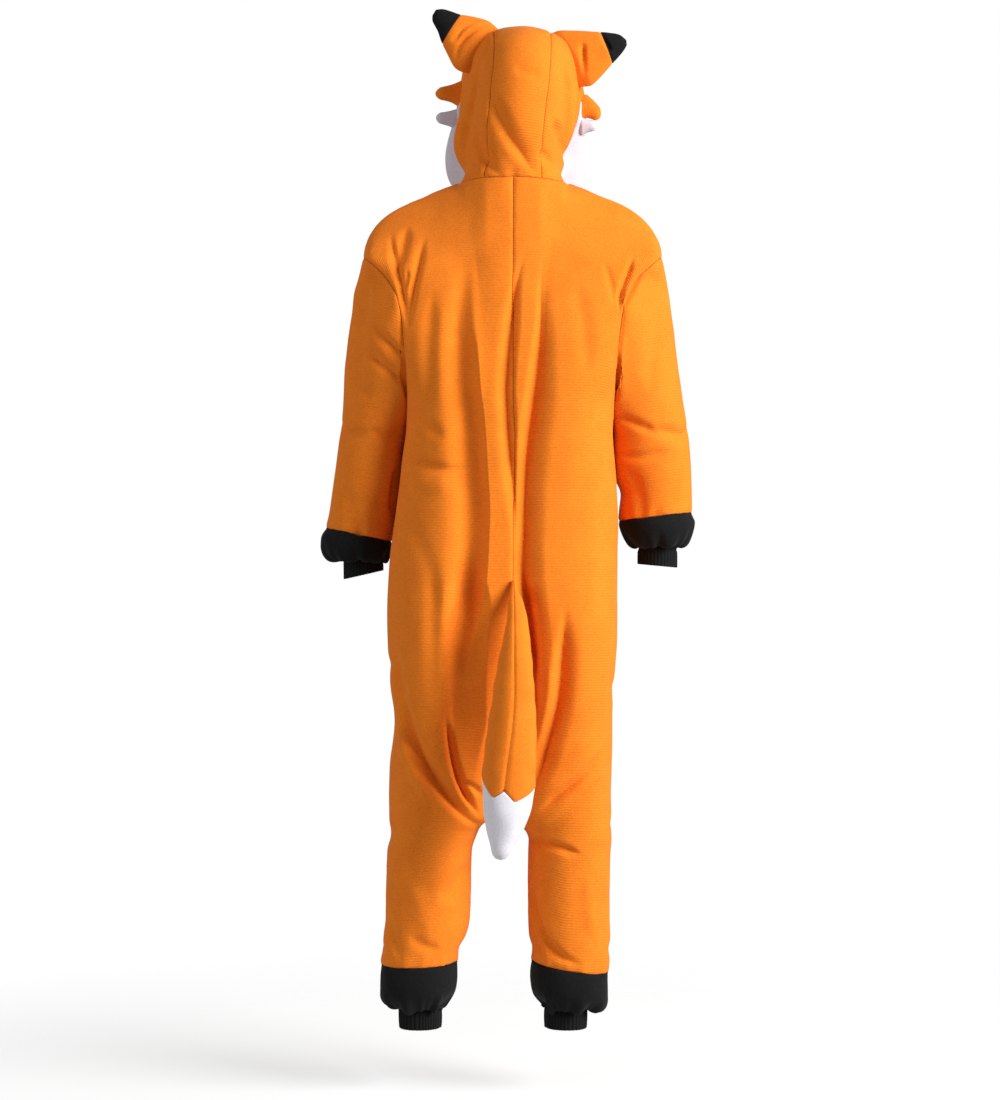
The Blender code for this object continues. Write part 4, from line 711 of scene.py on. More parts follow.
def hood_point(row, side, column):
    """A point of the hood; columns run from its middle to the face opening."""
    turn = math.radians(read(HOOD, "turn", row))
    half = read(HOOD, "edge_out", row) / math.sin(turn)
    strip = math.asin(HOOD_STRIP / half)
    rest = HOOD_SIDE_COLUMNS + HOOD_CHEEK_COLUMNS
    if column < HOOD_CENTRE_COLUMNS:
        angle = strip * column / HOOD_CENTRE_COLUMNS
    else:
        angle = strip + (turn - strip) * (column - HOOD_CENTRE_COLUMNS) / rest
    bend = (1 - math.cos(angle)) / (1 - math.cos(turn))
    top_y, top_z = read(HOOD, "top_y", row), read(HOOD, "top_z", row)
    y = top_y + (read(HOOD, "edge_y", row) - top_y) * bend
    hang = fade(row / HOOD_DIP_REACH)
    dip = hang * neck_point(neck_angle(column), side)[2]
    end_dip = hang * neck_point(neck_angle(HOOD_CENTRE_COLUMNS + rest), side)[2]
    z = top_z + (read(HOOD, "edge_z", row) - end_dip - top_z) * bend + dip
    out = half * math.sin(angle)
    if side < 0:
        share = max(0.0, (angle - strip) / (turn - strip))
        drawn = read(CHEEK_SPREAD, "drawn", row) * math.sin(math.pi * min(1.0, 0.8 * share)) ** 2
        out *= 1 - drawn + read(CHEEK_SPREAD, "spread", row) * share ** 4
    return np.array((read(HOOD, "lean", row) + side * out, y, z))


def hood_grid(side):
    """Half of the hood, from its middle to the face opening."""
    columns = np.arange(HOOD_COLUMNS * FINER + 1) / FINER
    rows = np.linspace(0, 1, HOOD_ROWS * FINER + 1)
    grid = np.array([[hood_point(row, side, column) for column in columns] for row in rows])
    grid[0] = [neck_point(neck_angle(column), side) for column in columns]
    return grid, rows


# ---------------------------------------------------------------- the skin

class Cage:
    """Grids of four-sided faces joined at their shared points, each face named by panel."""

    def __init__(self):
        self.points, self.faces, self.labels, self.maps, self.index = [], [], [], [], {}
        self.turns, self.rows = {}, {}
        self.grids = {}

    def number(self, point):
        key = tuple(int(round(c * 1e6)) for c in point)
        if key not in self.index:
            self.index[key] = len(self.points)
            self.points.append(np.array(point, float))
        return self.index[key]

    def add(self, name, grid, label, flip, turn, heights, anchor, side, closed=False):
        """Adds a grid. turn gives each column's angle round the garment, and heights each
        row's place in its table; the cloth's map counts from the anchor row and column 0."""
        numbers = [[self.number(p) for p in line] for line in grid]
        self.grids[name] = np.array(numbers)
        looped = np.concatenate([grid, grid[:, :1]], axis=1) if closed else grid
        across = np.linalg.norm(np.diff(looped, axis=1), axis=2)
        down = np.linalg.norm(np.diff(looped, axis=0), axis=2)
        u = side * np.pad(np.cumsum(across, axis=1), ((0, 0), (1, 0)))
        v = np.pad(np.cumsum(down, axis=0), ((1, 0), (0, 0)))
        v = v[anchor] - v
        width = len(numbers[0])
        for i in range(len(numbers)):
            for j in range(width):
                self.turns.setdefault(numbers[i][j], turn[j])
                self.rows.setdefault(numbers[i][j], heights[i])
        for i in range(len(numbers) - 1):
            for j in range(width if closed else width - 1):
                k = (j + 1) % width
                face = [numbers[i][j], numbers[i][k], numbers[i + 1][k], numbers[i + 1][j]]
                corners = [(u[i, j], v[i, j]), (u[i, j + 1], v[i, j + 1]),
                           (u[i + 1, j + 1], v[i + 1, j + 1]), (u[i + 1, j], v[i + 1, j])]
                keep = [n for n, number in enumerate(face) if number not in face[:n]]
                keep = keep[::-1] if flip else keep
                self.faces.append([face[n] for n in keep])
                self.maps += [corners[n] for n in keep]
                self.labels.append(label(i, j))


def make_cage():
    """The whole garment as one cage: body, sleeves and hood."""
    cage = Cage()
    for side, side_name in SIDES:
        loops = {}
        for face, face_name in ((BACK, "back"), (FRONT, "front")):
            grid, heights, armhole = body_grid(side, face)
            loops[face] = armhole

            def body_label(i, j, heights=heights, face_name=face_name, side_name=side_name):
                if heights[i] > BAND_END - 1e-6:
                    return f"leg_cuff_{side_name}"
                if heights[i] > LEG_END - 1e-6:
                    return f"leg_band_{side_name}"
                if face_name == "front" and j < FINER and heights[i] < PLACKET_END:
                    return f"front_{side_name}_strip"
                return f"{face_name}_{side_name}"

            turn = face * math.pi * np.linspace(0, 1, grid.shape[1])
            cage.add(f"{face_name}_{side_name}", grid, body_label, side * face < 0, turn,
                     heights, YOKE_ROWS * FINER, side)
        loop = np.concatenate([loops[BACK], loops[FRONT][-2:0:-1]])
        grid, heights = sleeve_grid(side, loop)

        def sleeve_label(i, _, heights=heights, side_name=side_name):
            if heights[i] > SLEEVE_BAND_END - 1e-6:
                return f"sleeve_cuff_{side_name}"
            if heights[i] > SLEEVE_END - 1e-6:
                return f"sleeve_band_{side_name}"
            return f"sleeve_{side_name}"

        turn = 2 * math.pi * np.arange(len(loop)) / len(loop)
        cage.add(f"sleeve_{side_name}", grid, sleeve_label, side > 0, turn, heights,
                 SLEEVE_COUNTS[0] * FINER, side, closed=True)
        grid, heights = hood_grid(side)

        def hood_label(i, j, side_name=side_name):
            if j < HOOD_CENTRE_COLUMNS * FINER:
                return "hood_centre"
            cheek = (HOOD_CENTRE_COLUMNS + HOOD_SIDE_COLUMNS) * FINER
            if j >= cheek and i < CHEEK_ROWS * FINER:
                return f"hood_cheek_{side_name}"
            return f"hood_side_{side_name}"

        turn = np.zeros(grid.shape[1])
        cage.add(f"hood_{side_name}", grid, hood_label, side > 0, turn, heights,
                 HOOD_ROWS, side)
    return cage


def ease(points, edges, centre, radius, rounds, keep=(), along=(1, 1, 1)):
    """Eases the cage near a place by moving its points towards their neighbours."""
    count = np.maximum(np.bincount(edges.flatten(), minlength=len(points)), 1)[:, None]
    for _ in range(rounds):
        weight = 0.5 * fade(np.linalg.norm(points - centre, axis=1) / radius)
        weight[list(keep)] = 0.0
        total = np.zeros_like(points)
        np.add.at(total, edges[:, 0], points[edges[:, 1]])
        np.add.at(total, edges[:, 1], points[edges[:, 0]])
        points = points + weight[:, None] * np.array(along) * (total / count - points)
    return points


def fill_shoulders(points):
    """Fills the back's hollows beside the neck, so that it slopes evenly to the arms."""
    across, depth, drop = np.abs(points[:, 0]), points[:, 1], -points[:, 2]
    part = np.clip((across - NECK_SIDE) / (OUTER_SIDE - NECK_SIDE), 0, None)
    inner = NECK_SIDE_DEPTH[0] + NECK_SIDE_DEPTH[1] * drop
    outer = OUTER_SIDE_DEPTH[0] + OUTER_SIDE_DEPTH[1] * drop
    target = inner + part * (outer - inner)
    short = np.clip((target - depth) / FILL_ROUNDING, -30, 30)
    lift = FILL_ROUNDING * np.log1p(np.exp(short))
    lift *= fade(1 - depth / FILL_DEPTH) * fade(1 - drop / FILL_TOP)
    lift *= fade((drop - FILL_FOOT) / FILL_FOOT_FADE)
    return points + lift[:, None] * np.array((0, 1, 0))


def eased_points(cage):
    """The cage's points, eased under the arms and beside the neck."""
    points = np.array(cage.points)
    edges = {tuple(sorted(pair)) for face in cage.faces
             for pair in zip(face, face[1:] + face[:1])}
    edges = np.array(sorted(edges))
    for side, name in SIDES:
        underarm = section_point(UNDERARM, side, BACK, 1.0, 0.5)
        points = ease(points, edges, underarm, UNDERARM_EASE, 2 * FINER ** 2)
        keep = np.concatenate([cage.grids[f"hood_{name}"][0], cage.grids[f"back_{name}"][0]])
        beside_neck = neck_point(0.5 * math.pi, side)
        points = ease(points, edges, beside_neck, NECK_EASE, 7 * FINER ** 2, keep,
                      along=(0.2, 1, 0.2))
    keep = [n for _, name in SIDES for n in cage.grids[f"back_{name}"][0]]
    points = ease(points, edges, YOKE_MIDDLE, YOKE_EASE, 12 * FINER ** 2, keep,
                  along=(0, 1, 0))
    return fill_shoulders(fill_shoulders(points))


def normals_of(points, quads):
    """The slope of a surface of four-sided faces at each of its points."""
    a, b, c, d = (points[quads[:, k]] for k in range(4))
    facing = np.cross(c - a, d - b)
    normals = np.zeros_like(points)
    for k in range(4):
        np.add.at(normals, quads[:, k], facing)
    return normals / np.linalg.norm(normals, axis=1)[:, None]


class Skin:
    """The cage subdivided into a fine, smooth surface, as arrays."""

    def __init__(self, cage):
        self.names = sorted(set(cage.labels))
        mesh = bpy.data.meshes.new("cage")
        mesh.from_pydata([tuple(p) for p in eased_points(cage)], [], cage.faces)
        number = {name: n for n, name in enumerate(self.names)}
        for _ in self.names:
            mesh.materials.append(None)
        mesh.polygons.foreach_set("material_index", [number[name] for name in cage.labels])
        layer = mesh.uv_layers.new(name="cloth")
        layer.data.foreach_set("uv", np.array(cage.maps, np.float32).flatten())
        count = range(len(cage.points))
        for name, values in (("turn_cos", [math.cos(cage.turns[v]) for v in count]),
                             ("turn_sin", [math.sin(cage.turns[v]) for v in count]),
                             ("row", [cage.rows[v] for v in count])):
            mesh.attributes.new(name, "FLOAT", "POINT").data.foreach_set("value", values)
        item = linked("cage", mesh)
        subsurf = item.modifiers.new("smooth", "SUBSURF")
        subsurf.levels = subsurf.render_levels = SUBDIVISIONS
        subsurf.uv_smooth = "NONE"
        fine = item.evaluated_get(bpy.context.evaluated_depsgraph_get()).to_mesh()
        self.points = self.read(fine.vertices, "co", 3)
        self.quads = self.read(fine.loops, "vertex_index", 1, int).reshape(-1, 4)
        self.label = self.read(fine.polygons, "material_index", 1, int)
        self.map = self.read(fine.uv_layers["cloth"].data, "uv", 2).reshape(-1, 4, 2)
        turn = [self.read(fine.attributes[name].data, "value", 1)
                for name in ("turn_sin", "turn_cos")]
        self.turn = np.arctan2(*turn)
        self.row = self.read(fine.attributes["row"].data, "value", 1)
        bpy.data.objects.remove(item)
        self.normals = normals_of(self.points, self.quads)
        self.flat = self.points.copy()

    @staticmethod
    def read(items, name, width, kind=float):
        values = np.zeros(len(items) * width, np.int32 if kind is int else np.float32)
        items.foreach_get(name, values)
        values = values.astype(kind)
        return values.reshape(-1, width) if width > 1 else values

    def move(self, shift):
        """Moves each point along its normal."""
        self.points = self.points + shift[:, None] * self.normals
        self.normals = normals_of(self.points, self.quads)

    def faces(self, starts):
        """Which faces belong to the panels whose names start so."""
        chosen = [n for n, name in enumerate(self.names) if name.startswith(tuple(starts))]
        return np.isin(self.label, chosen)

    def on(self, starts):
        """1 for each point of those panels, else 0."""
        mask = np.zeros(len(self.points))
        mask[self.quads[self.faces(starts)].flatten()] = 1.0
        return mask

    def seams(self):
        """The points where two panels meet, without the edges of the placket's strips."""
        merged = np.array([n if not name.endswith("_strip") else
                           self.names.index(name[:-len("_strip")])
                           for n, name in enumerate(self.names)])[self.label]
        low = np.full(len(self.points), len(self.names))
        high = np.full(len(self.points), -1)
        for k in range(4):
            np.minimum.at(low, self.quads[:, k], merged)
            np.maximum.at(high, self.quads[:, k], merged)
        return low != high


# ---------------------------------------------------------------- shaping the skin

VIEWS = {   # the two coordinates seen, and the direction that faces the eye
    "back": (0, (0, 1, 0)), "front": (0, (0, -1, 0)),
    "left": (1, (1, 0, 0)), "right": (1, (-1, 0, 0))}


def curve_through(places, steps=8):
    """A smooth curve through places, as points."""
    p = np.array(places, float)
    p = np.concatenate([[2 * p[0] - p[1]], p, [2 * p[-1] - p[-2]]])
    out = []
    for a, b, c, d in zip(p, p[1:], p[2:], p[3:]):
        for t in np.arange(steps) / steps:
            out.append(0.5 * (2 * b + (c - a) * t + (2 * a - 5 * b + 4 * c - d) * t ** 2
                              + (3 * b - a - 3 * c + d) * t ** 3))
    return np.array(out + [p[-2]])


FLANKS = {   # a crease's depth across one side: off is 0 at its line and 1 at its width
    "soft": lambda off: (1 - 0.30 * off ** 2) * np.exp(-0.75 * off ** 2),
    "crest": lambda off: np.clip(1 - off ** 2, 0, 1),   # rises to a sharp ridge
    "valley": lambda off: np.clip(1 - off, 0, 1) ** 1.7}    # rises from a sharp bottom


def crease_shift(points, normals, view, crease):
    """How far one crease moves each point inwards along its normal."""
    *widths, depth = crease[:3]
    places = np.array(crease[3:]) / MILLIMETRES
    sides = [w if isinstance(w, tuple) else (w, "soft") for w in widths]
    axis, eye = VIEWS[view]
    line = curve_through(places) * (1, -1)
    seen = points[:, (axis, 2)]
    reach = 3 * max(sides)[0] / MILLIMETRES
    near = np.all((seen > line.min(0) - reach) & (seen < line.max(0) + reach), axis=1)
    facing = fade(1 - (normals @ np.array(eye)) / CREASE_TURNS_OFF)
    near = np.nonzero(near & (facing > 0))[0]
    shift = np.zeros(len(points))
    if len(near) == 0:
        return shift
    start, along = line[:-1], np.diff(line, axis=0)
    length = np.linalg.norm(along, axis=1)
    travelled = np.concatenate([[0], np.cumsum(length)])
    rel = seen[near][:, None] - start[None]
    t = np.clip(np.sum(rel * along, axis=2) / length ** 2, 0, 1)
    gap = rel - t[..., None] * along
    distance = np.linalg.norm(gap, axis=2)
    best = np.argmin(distance, axis=1)
    pick = np.arange(len(near)), best
    side = gap[pick][:, 0] * np.sign(-along[best, 1] + 1e-9)
    if abs(line[-1, 0] - line[0, 0]) > abs(line[-1, 1] - line[0, 1]):
        side = gap[pick][:, 1]
    share = (travelled[best] + t[pick] * length[best]) / travelled[-1]
    ends = fade(1 - share / CREASE_ENDS) * fade(1 - (1 - share) / CREASE_ENDS)
    profile = np.zeros(len(near))
    for (width, form), chosen in zip(sides, (side > 0, side <= 0)):
        spread_out = CREASE_TIP + (1 - CREASE_TIP) * ends
        off = distance[pick] / (width / MILLIMETRES * spread_out)
        profile[chosen] = FLANKS[form](off[chosen])
    shift[near] = CREASE_STRENGTH * (depth / MILLIMETRES) * profile * ends * facing[near]
    return shift


def noise(points, size, seed):
    """Smooth noise from -1 to 1; size is the length of its waves along X, Y and Z."""
    place = points / np.array(size) + 31.7 * seed
    cell = np.floor(place).astype(np.int64)
    part = place - cell
    part = part * part * (3 - 2 * part)
    total = np.zeros(len(points))
    for corner in itertools.product((0, 1), repeat=3):
        c = cell + corner
        mixed = (c[:, 0] * 73856093) ^ (c[:, 1] * 19349663) ^ (c[:, 2] * 83492791)
        value = np.sin(mixed % 100003 * 12.9898) * 43758.5453
        value = 2 * (value - np.floor(value)) - 1
        weight = np.prod(np.where(corner, part, 1 - part), axis=1)
        total += value * weight
    return total


def gathers(turn, table_of_waves):
    return sum(depth * np.sin(count * turn + phase) for count, depth, phase in table_of_waves)


def shape_skin(skin):
    """Moves the skin's points along their normals into creases, gathers and ribs."""
    points, normals = skin.points, skin.normals
    shift = np.zeros(len(points))
    for view, where, rows in CREASES:
        on = skin.on(where)
        for crease in rows:
            shift -= crease_shift(points, normals, view, crease) * on
    for names, place, reach, height in FULLER:
        for name in names:
            shift += height * skin.on((name,)) * fade(
                np.linalg.norm((points - place) / reach, axis=1))
    cuffs = skin.on(("leg_cuff", "sleeve_cuff"))
    for n, (size, height) in enumerate(UNEVEN):
        shift += height * noise(points, size, n + 1) * (1 - cuffs)
    for band, middle, reach, above, edge, share, fall, waves in GATHERED:
        on_band = skin.on(band) * fade(abs(skin.row - middle) / reach)
        on_above = skin.on(above) * fade(abs(skin.row - edge) / fall)
        shift += (on_band + share * on_above) * gathers(skin.turn, waves)
    for cuff, end, fall, count in RIBBED:
        ribs = skin.on(cuff) * fade((end + fall - skin.row) / fall)
        shift += RIB_RELIEF * ribs * np.cos(count * skin.turn)
    skin.move(shift)
    pucker_seams(skin)


def pucker_seams(skin):
    """Draws the cloth in along each seam, with small puckers on both sides of it."""
    seam = skin.points[skin.seams()]
    tree = KDTree(len(seam))
    for n, point in enumerate(seam):
        tree.insert(point, n)
    tree.balance()
    away = np.array([tree.find(point)[2] for point in skin.points])
    ripple = noise(skin.points, (PUCKER_LENGTH,) * 3, PUCKER_SEED)
    shift = SEAM_PUCKER * ripple * np.exp(-(away / SEAM_PUCKER_REACH) ** 2)
    shift -= SEAM_SINK * np.exp(-(away / SEAM_SINK_REACH) ** 2)
    skin.move(shift)


# ---------------------------------------------------------------- panels

LOOK = "visible"        # ends each new piece's name, to tell it from its CAD node


def linked(name, data):
    """A new object, put into the scene."""
    item = bpy.data.objects.new(name, data)
    bpy.context.scene.collection.objects.link(item)
    return item


def new_object(name, mesh, material):
    mesh.materials.clear()
    mesh.materials.append(material)
    item = linked(f"{name}_{LOOK}", mesh)
    mesh.shade_smooth()
    return item


def declare(item, slot, *nodes):
    """Names a piece's body and the CAD nodes that it replaces; the slot argument is not used."""
    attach(item, "root")
    if nodes:
        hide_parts(*nodes)


def place_key(point):
    return tuple(int(round(c * 1e5)) for c in point)


def panel(skin, name, thickness, material, slot, starts=None, lift=0.0):
    """A panel of cloth: a surface with its edges turned in, made thick inwards."""
    chosen = skin.faces(starts or (name,))
    used, local = np.unique(skin.quads[chosen], return_inverse=True)
    points = skin.points[used] + lift * skin.normals[used]
    mesh = bpy.data.meshes.new(name)
    mesh.from_pydata(points.tolist(), [], local.reshape(-1, 4).tolist())
    layer = mesh.uv_layers.new(name="cloth")
    layer.data.foreach_set("uv", skin.map[chosen].astype(np.float32).flatten())
    form = bmesh.new()
    form.from_mesh(mesh)
    form.normal_update()
    bmesh.ops.inset_region(form, faces=form.faces[:], thickness=EDGE_STRIP,
                           use_boundary=True, use_even_offset=True, use_interpolate=True)
    form.normal_update()
    slope = {place_key(p): n for p, n in zip(points, skin.normals[used])}
    border = {v for edge in form.edges if edge.is_boundary for v in edge.verts}
    for v in border:
        normal = slope.get(place_key(v.co))
        v.co -= EDGE_TURN * (v.normal if normal is None else Vector(normal))
    form.to_mesh(mesh)
    form.free()
    item = new_object(name, mesh, material)
    thick = item.modifiers.new("thickness", "SOLIDIFY")
    thick.thickness = thickness
    thick.offset = -1
    mesh.set_sharp_from_angle(angle=SHEET_SHARP)
    declare(item, slot, name)
    declare_sheet(skin, chosen)


def area_of(points, quads):
    p = points[quads]
    return 0.5 * np.linalg.norm(np.cross(p[:, 2] - p[:, 0], p[:, 3] - p[:, 1]), axis=1).sum()


def declare_sheet(skin, chosen):
    """Works out how large a panel was cut, its extent along the cloth and its whole area, but
    keeps neither.
    """
    area = area_of(skin.points, skin.quads[chosen])
    spare = math.sqrt(area / area_of(skin.flat, skin.quads[chosen]))
    width, length = spare * np.ptp(skin.map[chosen].reshape(-1, 2), axis=0)
    area = min(area, float(width * length))


# ---------------------------------------------------------------- stuffed forms

def ring_faces(rings, count):
    """Faces between rings of points, and from the first and the last ring to the two end
    points that come after all the rings."""
    around = [(k, (k + 1) % count) for k in range(count)]
    faces = [(r * count + k, r * count + n, (r + 1) * count + n, (r + 1) * count + k)
             for r in range(rings - 1) for k, n in around]
    for end, start in enumerate((0, (rings - 1) * count)):
        faces += [(start + k, start + n, rings * count + end) for k, n in around]
    return faces


def solid_mesh(name, points, faces, weld=False):
    """A closed mesh whose faces look outwards."""
    mesh = bpy.data.meshes.new(name)
    mesh.from_pydata([tuple(p) for p in points], [], faces)
    form = bmesh.new()
    form.from_mesh(mesh)
    if weld:
        bmesh.ops.remove_doubles(form, verts=form.verts, dist=1e-6)
    bmesh.ops.recalc_face_normals(form, faces=form.faces)
    form.to_mesh(mesh)
    form.free()
    return mesh


def ring_form(name, rings, ends, material, slot):
    """A closed, stuffed form from rings of points and its two end points."""
    points = [p for ring in rings for p in ring] + list(ends)
    mesh = solid_mesh(name, points, ring_faces(len(rings), len(rings[0])), weld=True)
    item = new_object(name, mesh, material)
    mesh.set_sharp_from_angle(angle=STUFFED_SHARP)
    declare(item, slot, name)


def outline_rings(pairs, deep, depths, around, steps):
    """Lens-shaped rings between two edges: pairs are (upper, lower) points as (across,
    drop), deep is the form's place along Y, and depths its half thickness at each pair."""
    upper = curve_through([pair[0] for pair in pairs], steps)
    lower = curve_through([pair[1] for pair in pairs], steps)
    stops = np.arange(len(depths)) * steps
    half = np.interp(np.arange(len(upper)), stops, depths)
    angle = 2 * math.pi * np.arange(around) / around
    rings = []
    for a, b, thick in zip(upper, lower, half):
        middle, reach = 0.5 * (a + b), 0.5 * (a - b)
        flat = middle + np.outer(np.cos(angle), reach)
        rings.append(np.stack([flat[:, 0], deep + thick * np.sin(angle), -flat[:, 1]], axis=1))
    return rings


def seated(ring, tree):
    """A ring moved onto the cloth under it, sunk a little."""
    out = []
    for p in ring:
        place, normal, _, _ = tree.find_nearest(Vector(p))
        out.append(np.array(place - normal * SEWN_SINK))
    return out


def from_middle(ring):
    """A ring's middle, and the direction from there to each of its points."""
    middle = ring.mean(axis=0)
    away = ring - middle
    return middle, away / (np.linalg.norm(away, axis=1)[:, None] + 1e-9)


def soften(rings, size, height, seed):
    """Small unevenness of a stuffed form, moved away from each ring's middle."""
    return [ring + from_middle(ring)[1] * (height * noise(ring, size, seed))[:, None]
            for ring in rings]


def pinch(rings, creases):
    """Presses creases into a form: each is a curve seen from behind, its width and depth."""
    out = []
    for ring in rings:
        _, away = from_middle(ring)
        for places, width, depth in creases:
            line = curve_through(places, 10) * (1, -1)
            gap = np.linalg.norm(ring[:, None, (0, 2)] - line[None], axis=2).min(axis=1)
            press = depth * np.exp(-(gap / width) ** 2) * abs(away[:, 1])
            ring = ring - np.outer(np.sign(away[:, 1]) * press, (0, 1, 0))
        out.append(ring)
    return out


def sewn_on(rings, tree):
    """Rings of a form that is sewn on the cloth: its first ring seated, with a base."""
    base = np.array(seated(rings[0], tree))
    middle = base.mean(axis=0)
    base_rings = [np.array(seated(middle + (base - middle) * share, tree))
                  for share in (0.35, 0.7)]
    end = seated([middle], tree)[0]
    return base_rings + [base] + list(rings[1:]), end


def ear(side_name, tree, orange, black):
    pairs, creases = EARS[side_name]
    lo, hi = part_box(f"ear_{side_name}")
    deep = 0.5 * (lo.y + hi.y)
    rings = outline_rings(pairs, deep, EAR_THICK, EAR_AROUND, EAR_STEPS)
    rings = soften(rings, *EAR_UNEVEN)
    rings = pinch(rings, creases)
    split = EAR_SPLIT * EAR_STEPS
    body, tip = rings[:split + 1], rings[split:]
    body[-1] = drawn_in(body[-1], EAR_SEAM)
    body, base = sewn_on(body, tree)
    ring_form(f"ear_{side_name}", body, (base, body[-1].mean(axis=0)), orange,
              "orange_fleece")
    tip[0] = drawn_in(tip[0], EAR_SEAM)
    ring_form(f"ear_tip_{side_name}", tip, (tip[0].mean(axis=0), tip[-1].mean(axis=0)), black,
              "black_fleece")


def drawn_in(ring, share):
    """A ring scaled about its middle, for a seam."""
    middle = ring.mean(axis=0)
    return middle + (ring - middle) * share


def tuft_pairs(upper, lower, tip, radius, bend):
    """The upper and lower edge of a round-ended lobe, from its root to its tip."""
    upper, lower, tip = np.array(upper), np.array(lower), np.array(tip)
    root = 0.5 * (upper + lower)
    run = (tip - root) / np.linalg.norm(tip - root)
    up = np.array((run[1], -run[0])) * math.copysign(1.0, run[0])
    half = 0.5 * np.linalg.norm(upper - lower)
    pairs = [(upper, lower)]
    for along, width, _ in TUFT_SHAPE:
        middle = root + (tip - root) * along + up * bend * math.sin(math.pi * along)
        reach = (half + (radius - half) * min(1.0, 2 * along)) * width
        pairs.append((middle + up * reach, middle - up * reach))
    return pairs


def tuft(name, tree, material, slot):
    pairs = tuft_pairs(*TUFTS[name])
    thick = [TUFT_ROOT] + [row[2] for row in TUFT_SHAPE]
    lo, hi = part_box(name)
    rings = outline_rings(pairs, 0.5 * (lo.y + hi.y), thick, TUFT_AROUND, TUFT_STEPS)
    rings = soften(rings, *TUFT_UNEVEN)
    rings, base = sewn_on(rings, tree)
    ring_form(name, rings, (base, rings[-1].mean(axis=0)), material, slot)


# ---------------------------------------------------------------- the tail

def tail_arc(columns, row, side, pinch_depth, teeth, uneven, folds=0.0):
    """Half a ring of the tail, from its back seam round its side to its inner seam."""
    seam, back, deep, drop = (read(columns, key, row) for key in ("seam", "back", "deep", "drop"))
    edge = read(columns, "left" if side > 0 else "right", row)
    angle = math.pi * np.arange(TAIL_AROUND + 1) / TAIL_AROUND
    crown = np.sign(np.cos(angle)) * abs(np.cos(angle)) ** TAIL_SQUARENESS
    across = seam + (edge - seam) * np.sin(angle)
    pinched = pinch_depth * np.exp(-(angle / SEAM_PINCH_ANGLE) ** 2)
    depth = back + deep * crown - pinched
    arc = np.stack([across, depth, np.full(len(angle), -drop)], axis=1)
    arc[:, 2] += zigzag(angle, side) * teeth
    height, size, seed = uneven
    push = height * noise(arc, size, seed)
    push += folds * np.sin(TAIL_FOLDS * arc[:, 2] + TAIL_FOLDS_SLANT * arc[:, 0])
    out = np.stack([np.sin(angle) * side, np.cos(angle), np.zeros(len(angle))], axis=1)
    return arc + push[:, None] * out


def zigzag(angle, side):
    places, heights = TEETH["left" if side > 0 else "right"]
    return np.interp(np.degrees(angle), places, heights)


def tail_half(side, side_name, material):
    rows = np.linspace(TAIL["row"][0], TAIL["row"][-1], TAIL_RINGS)
    rings = [tail_arc(TAIL, row, side, SEAM_PINCH, fade((rows[-1] - row) / ZIGZAG_ABOVE),
                      TAIL_UNEVEN, TAIL_FOLD_DEPTH * min(1.0, row / 2)) for row in rows]
    rings[-1][:, :2] = drawn_in(rings[-1][:, :2], TAIL_SEAM)
    whole = []
    for arc in rings:
        inner = [arc[-1] + (arc[0] - arc[-1]) * t for t in (0.25, 0.5, 0.75)]
        whole.append(np.concatenate([arc, inner]))
    ring_form(f"tail_{side_name}", whole, (whole[0].mean(axis=0), whole[-1].mean(axis=0)),
              material, "orange_fleece")


def tail_tip(material):
    whole = []
    for row in np.linspace(TAIL_TIP["row"][0], TAIL_TIP["row"][-1], TIP_RINGS):
        left, right = (tail_arc(TAIL_TIP, row, side, 0.0, fade(row / ZIGZAG_BELOW), TIP_UNEVEN)
                       for side, _ in SIDES)
        left[0] = 0.5 * (left[0] + right[0])
        whole.append(np.concatenate([left, right[-2:0:-1]]))
    whole[0][:, :2] = drawn_in(whole[0][:, :2], TAIL_SEAM)
    whole[0][:, 2] -= TIP_GAP
    end = whole[-1].mean(axis=0) - np.array((0, 0, TIP_END))
    ring_form("tail_tip", whole, (whole[0].mean(axis=0), end), material, "white_fleece")


# ---------------------------------------------------------------- closing and stitches

def lathe(profile, count):
    """Points and faces of a profile of (radius, height) turned about Z."""
    angles = 2 * math.pi * np.arange(count) / count
    points = [(radius * math.cos(a), radius * math.sin(a), height)
              for radius, height in profile for a in angles]
    points += [(0.0, 0.0, profile[0][1]), (0.0, 0.0, profile[-1][1])]
    return points, ring_faces(len(profile), count)


def button_mesh():
    """A flat button with a rim, a shallow dish and four holes through it."""
    r, t = BUTTON_RADIUS, BUTTON_THICKNESS
    profile = ((r * 0.80, 0.0), (r * 0.97, 0.0004), (r, 0.0011), (r, t - 0.0009),
               (r * 0.96, t - 0.0002), (r * 0.88, t), (r * 0.79, t - 0.0003),
               (r * 0.70, t - 0.0010), (r * 0.55, t - BUTTON_DISH))
    item = linked("button", solid_mesh("button", *lathe(profile, 48)))
    pins = []
    apart = BUTTON_HOLE_PLACE
    for x, y in itertools.product((-apart, apart), repeat=2):
        points, faces = lathe(((BUTTON_HOLE, -0.002), (BUTTON_HOLE, t + 0.002)), 16)
        pin = linked("pin", solid_mesh("pin", points, faces))
        pin.location = (x, y, 0)
        cut = item.modifiers.new("hole", "BOOLEAN")
        cut.operation = "DIFFERENCE"
        cut.object = pin
        pins.append(pin)
    bpy.context.view_layer.update()
    whole = bpy.data.meshes.new_from_object(
        item.evaluated_get(bpy.context.evaluated_depsgraph_get()))
    for extra in pins + [item]:
        bpy.data.objects.remove(extra)
    whole.set_sharp_from_angle(angle=BUTTON_SHARP)
    return whole


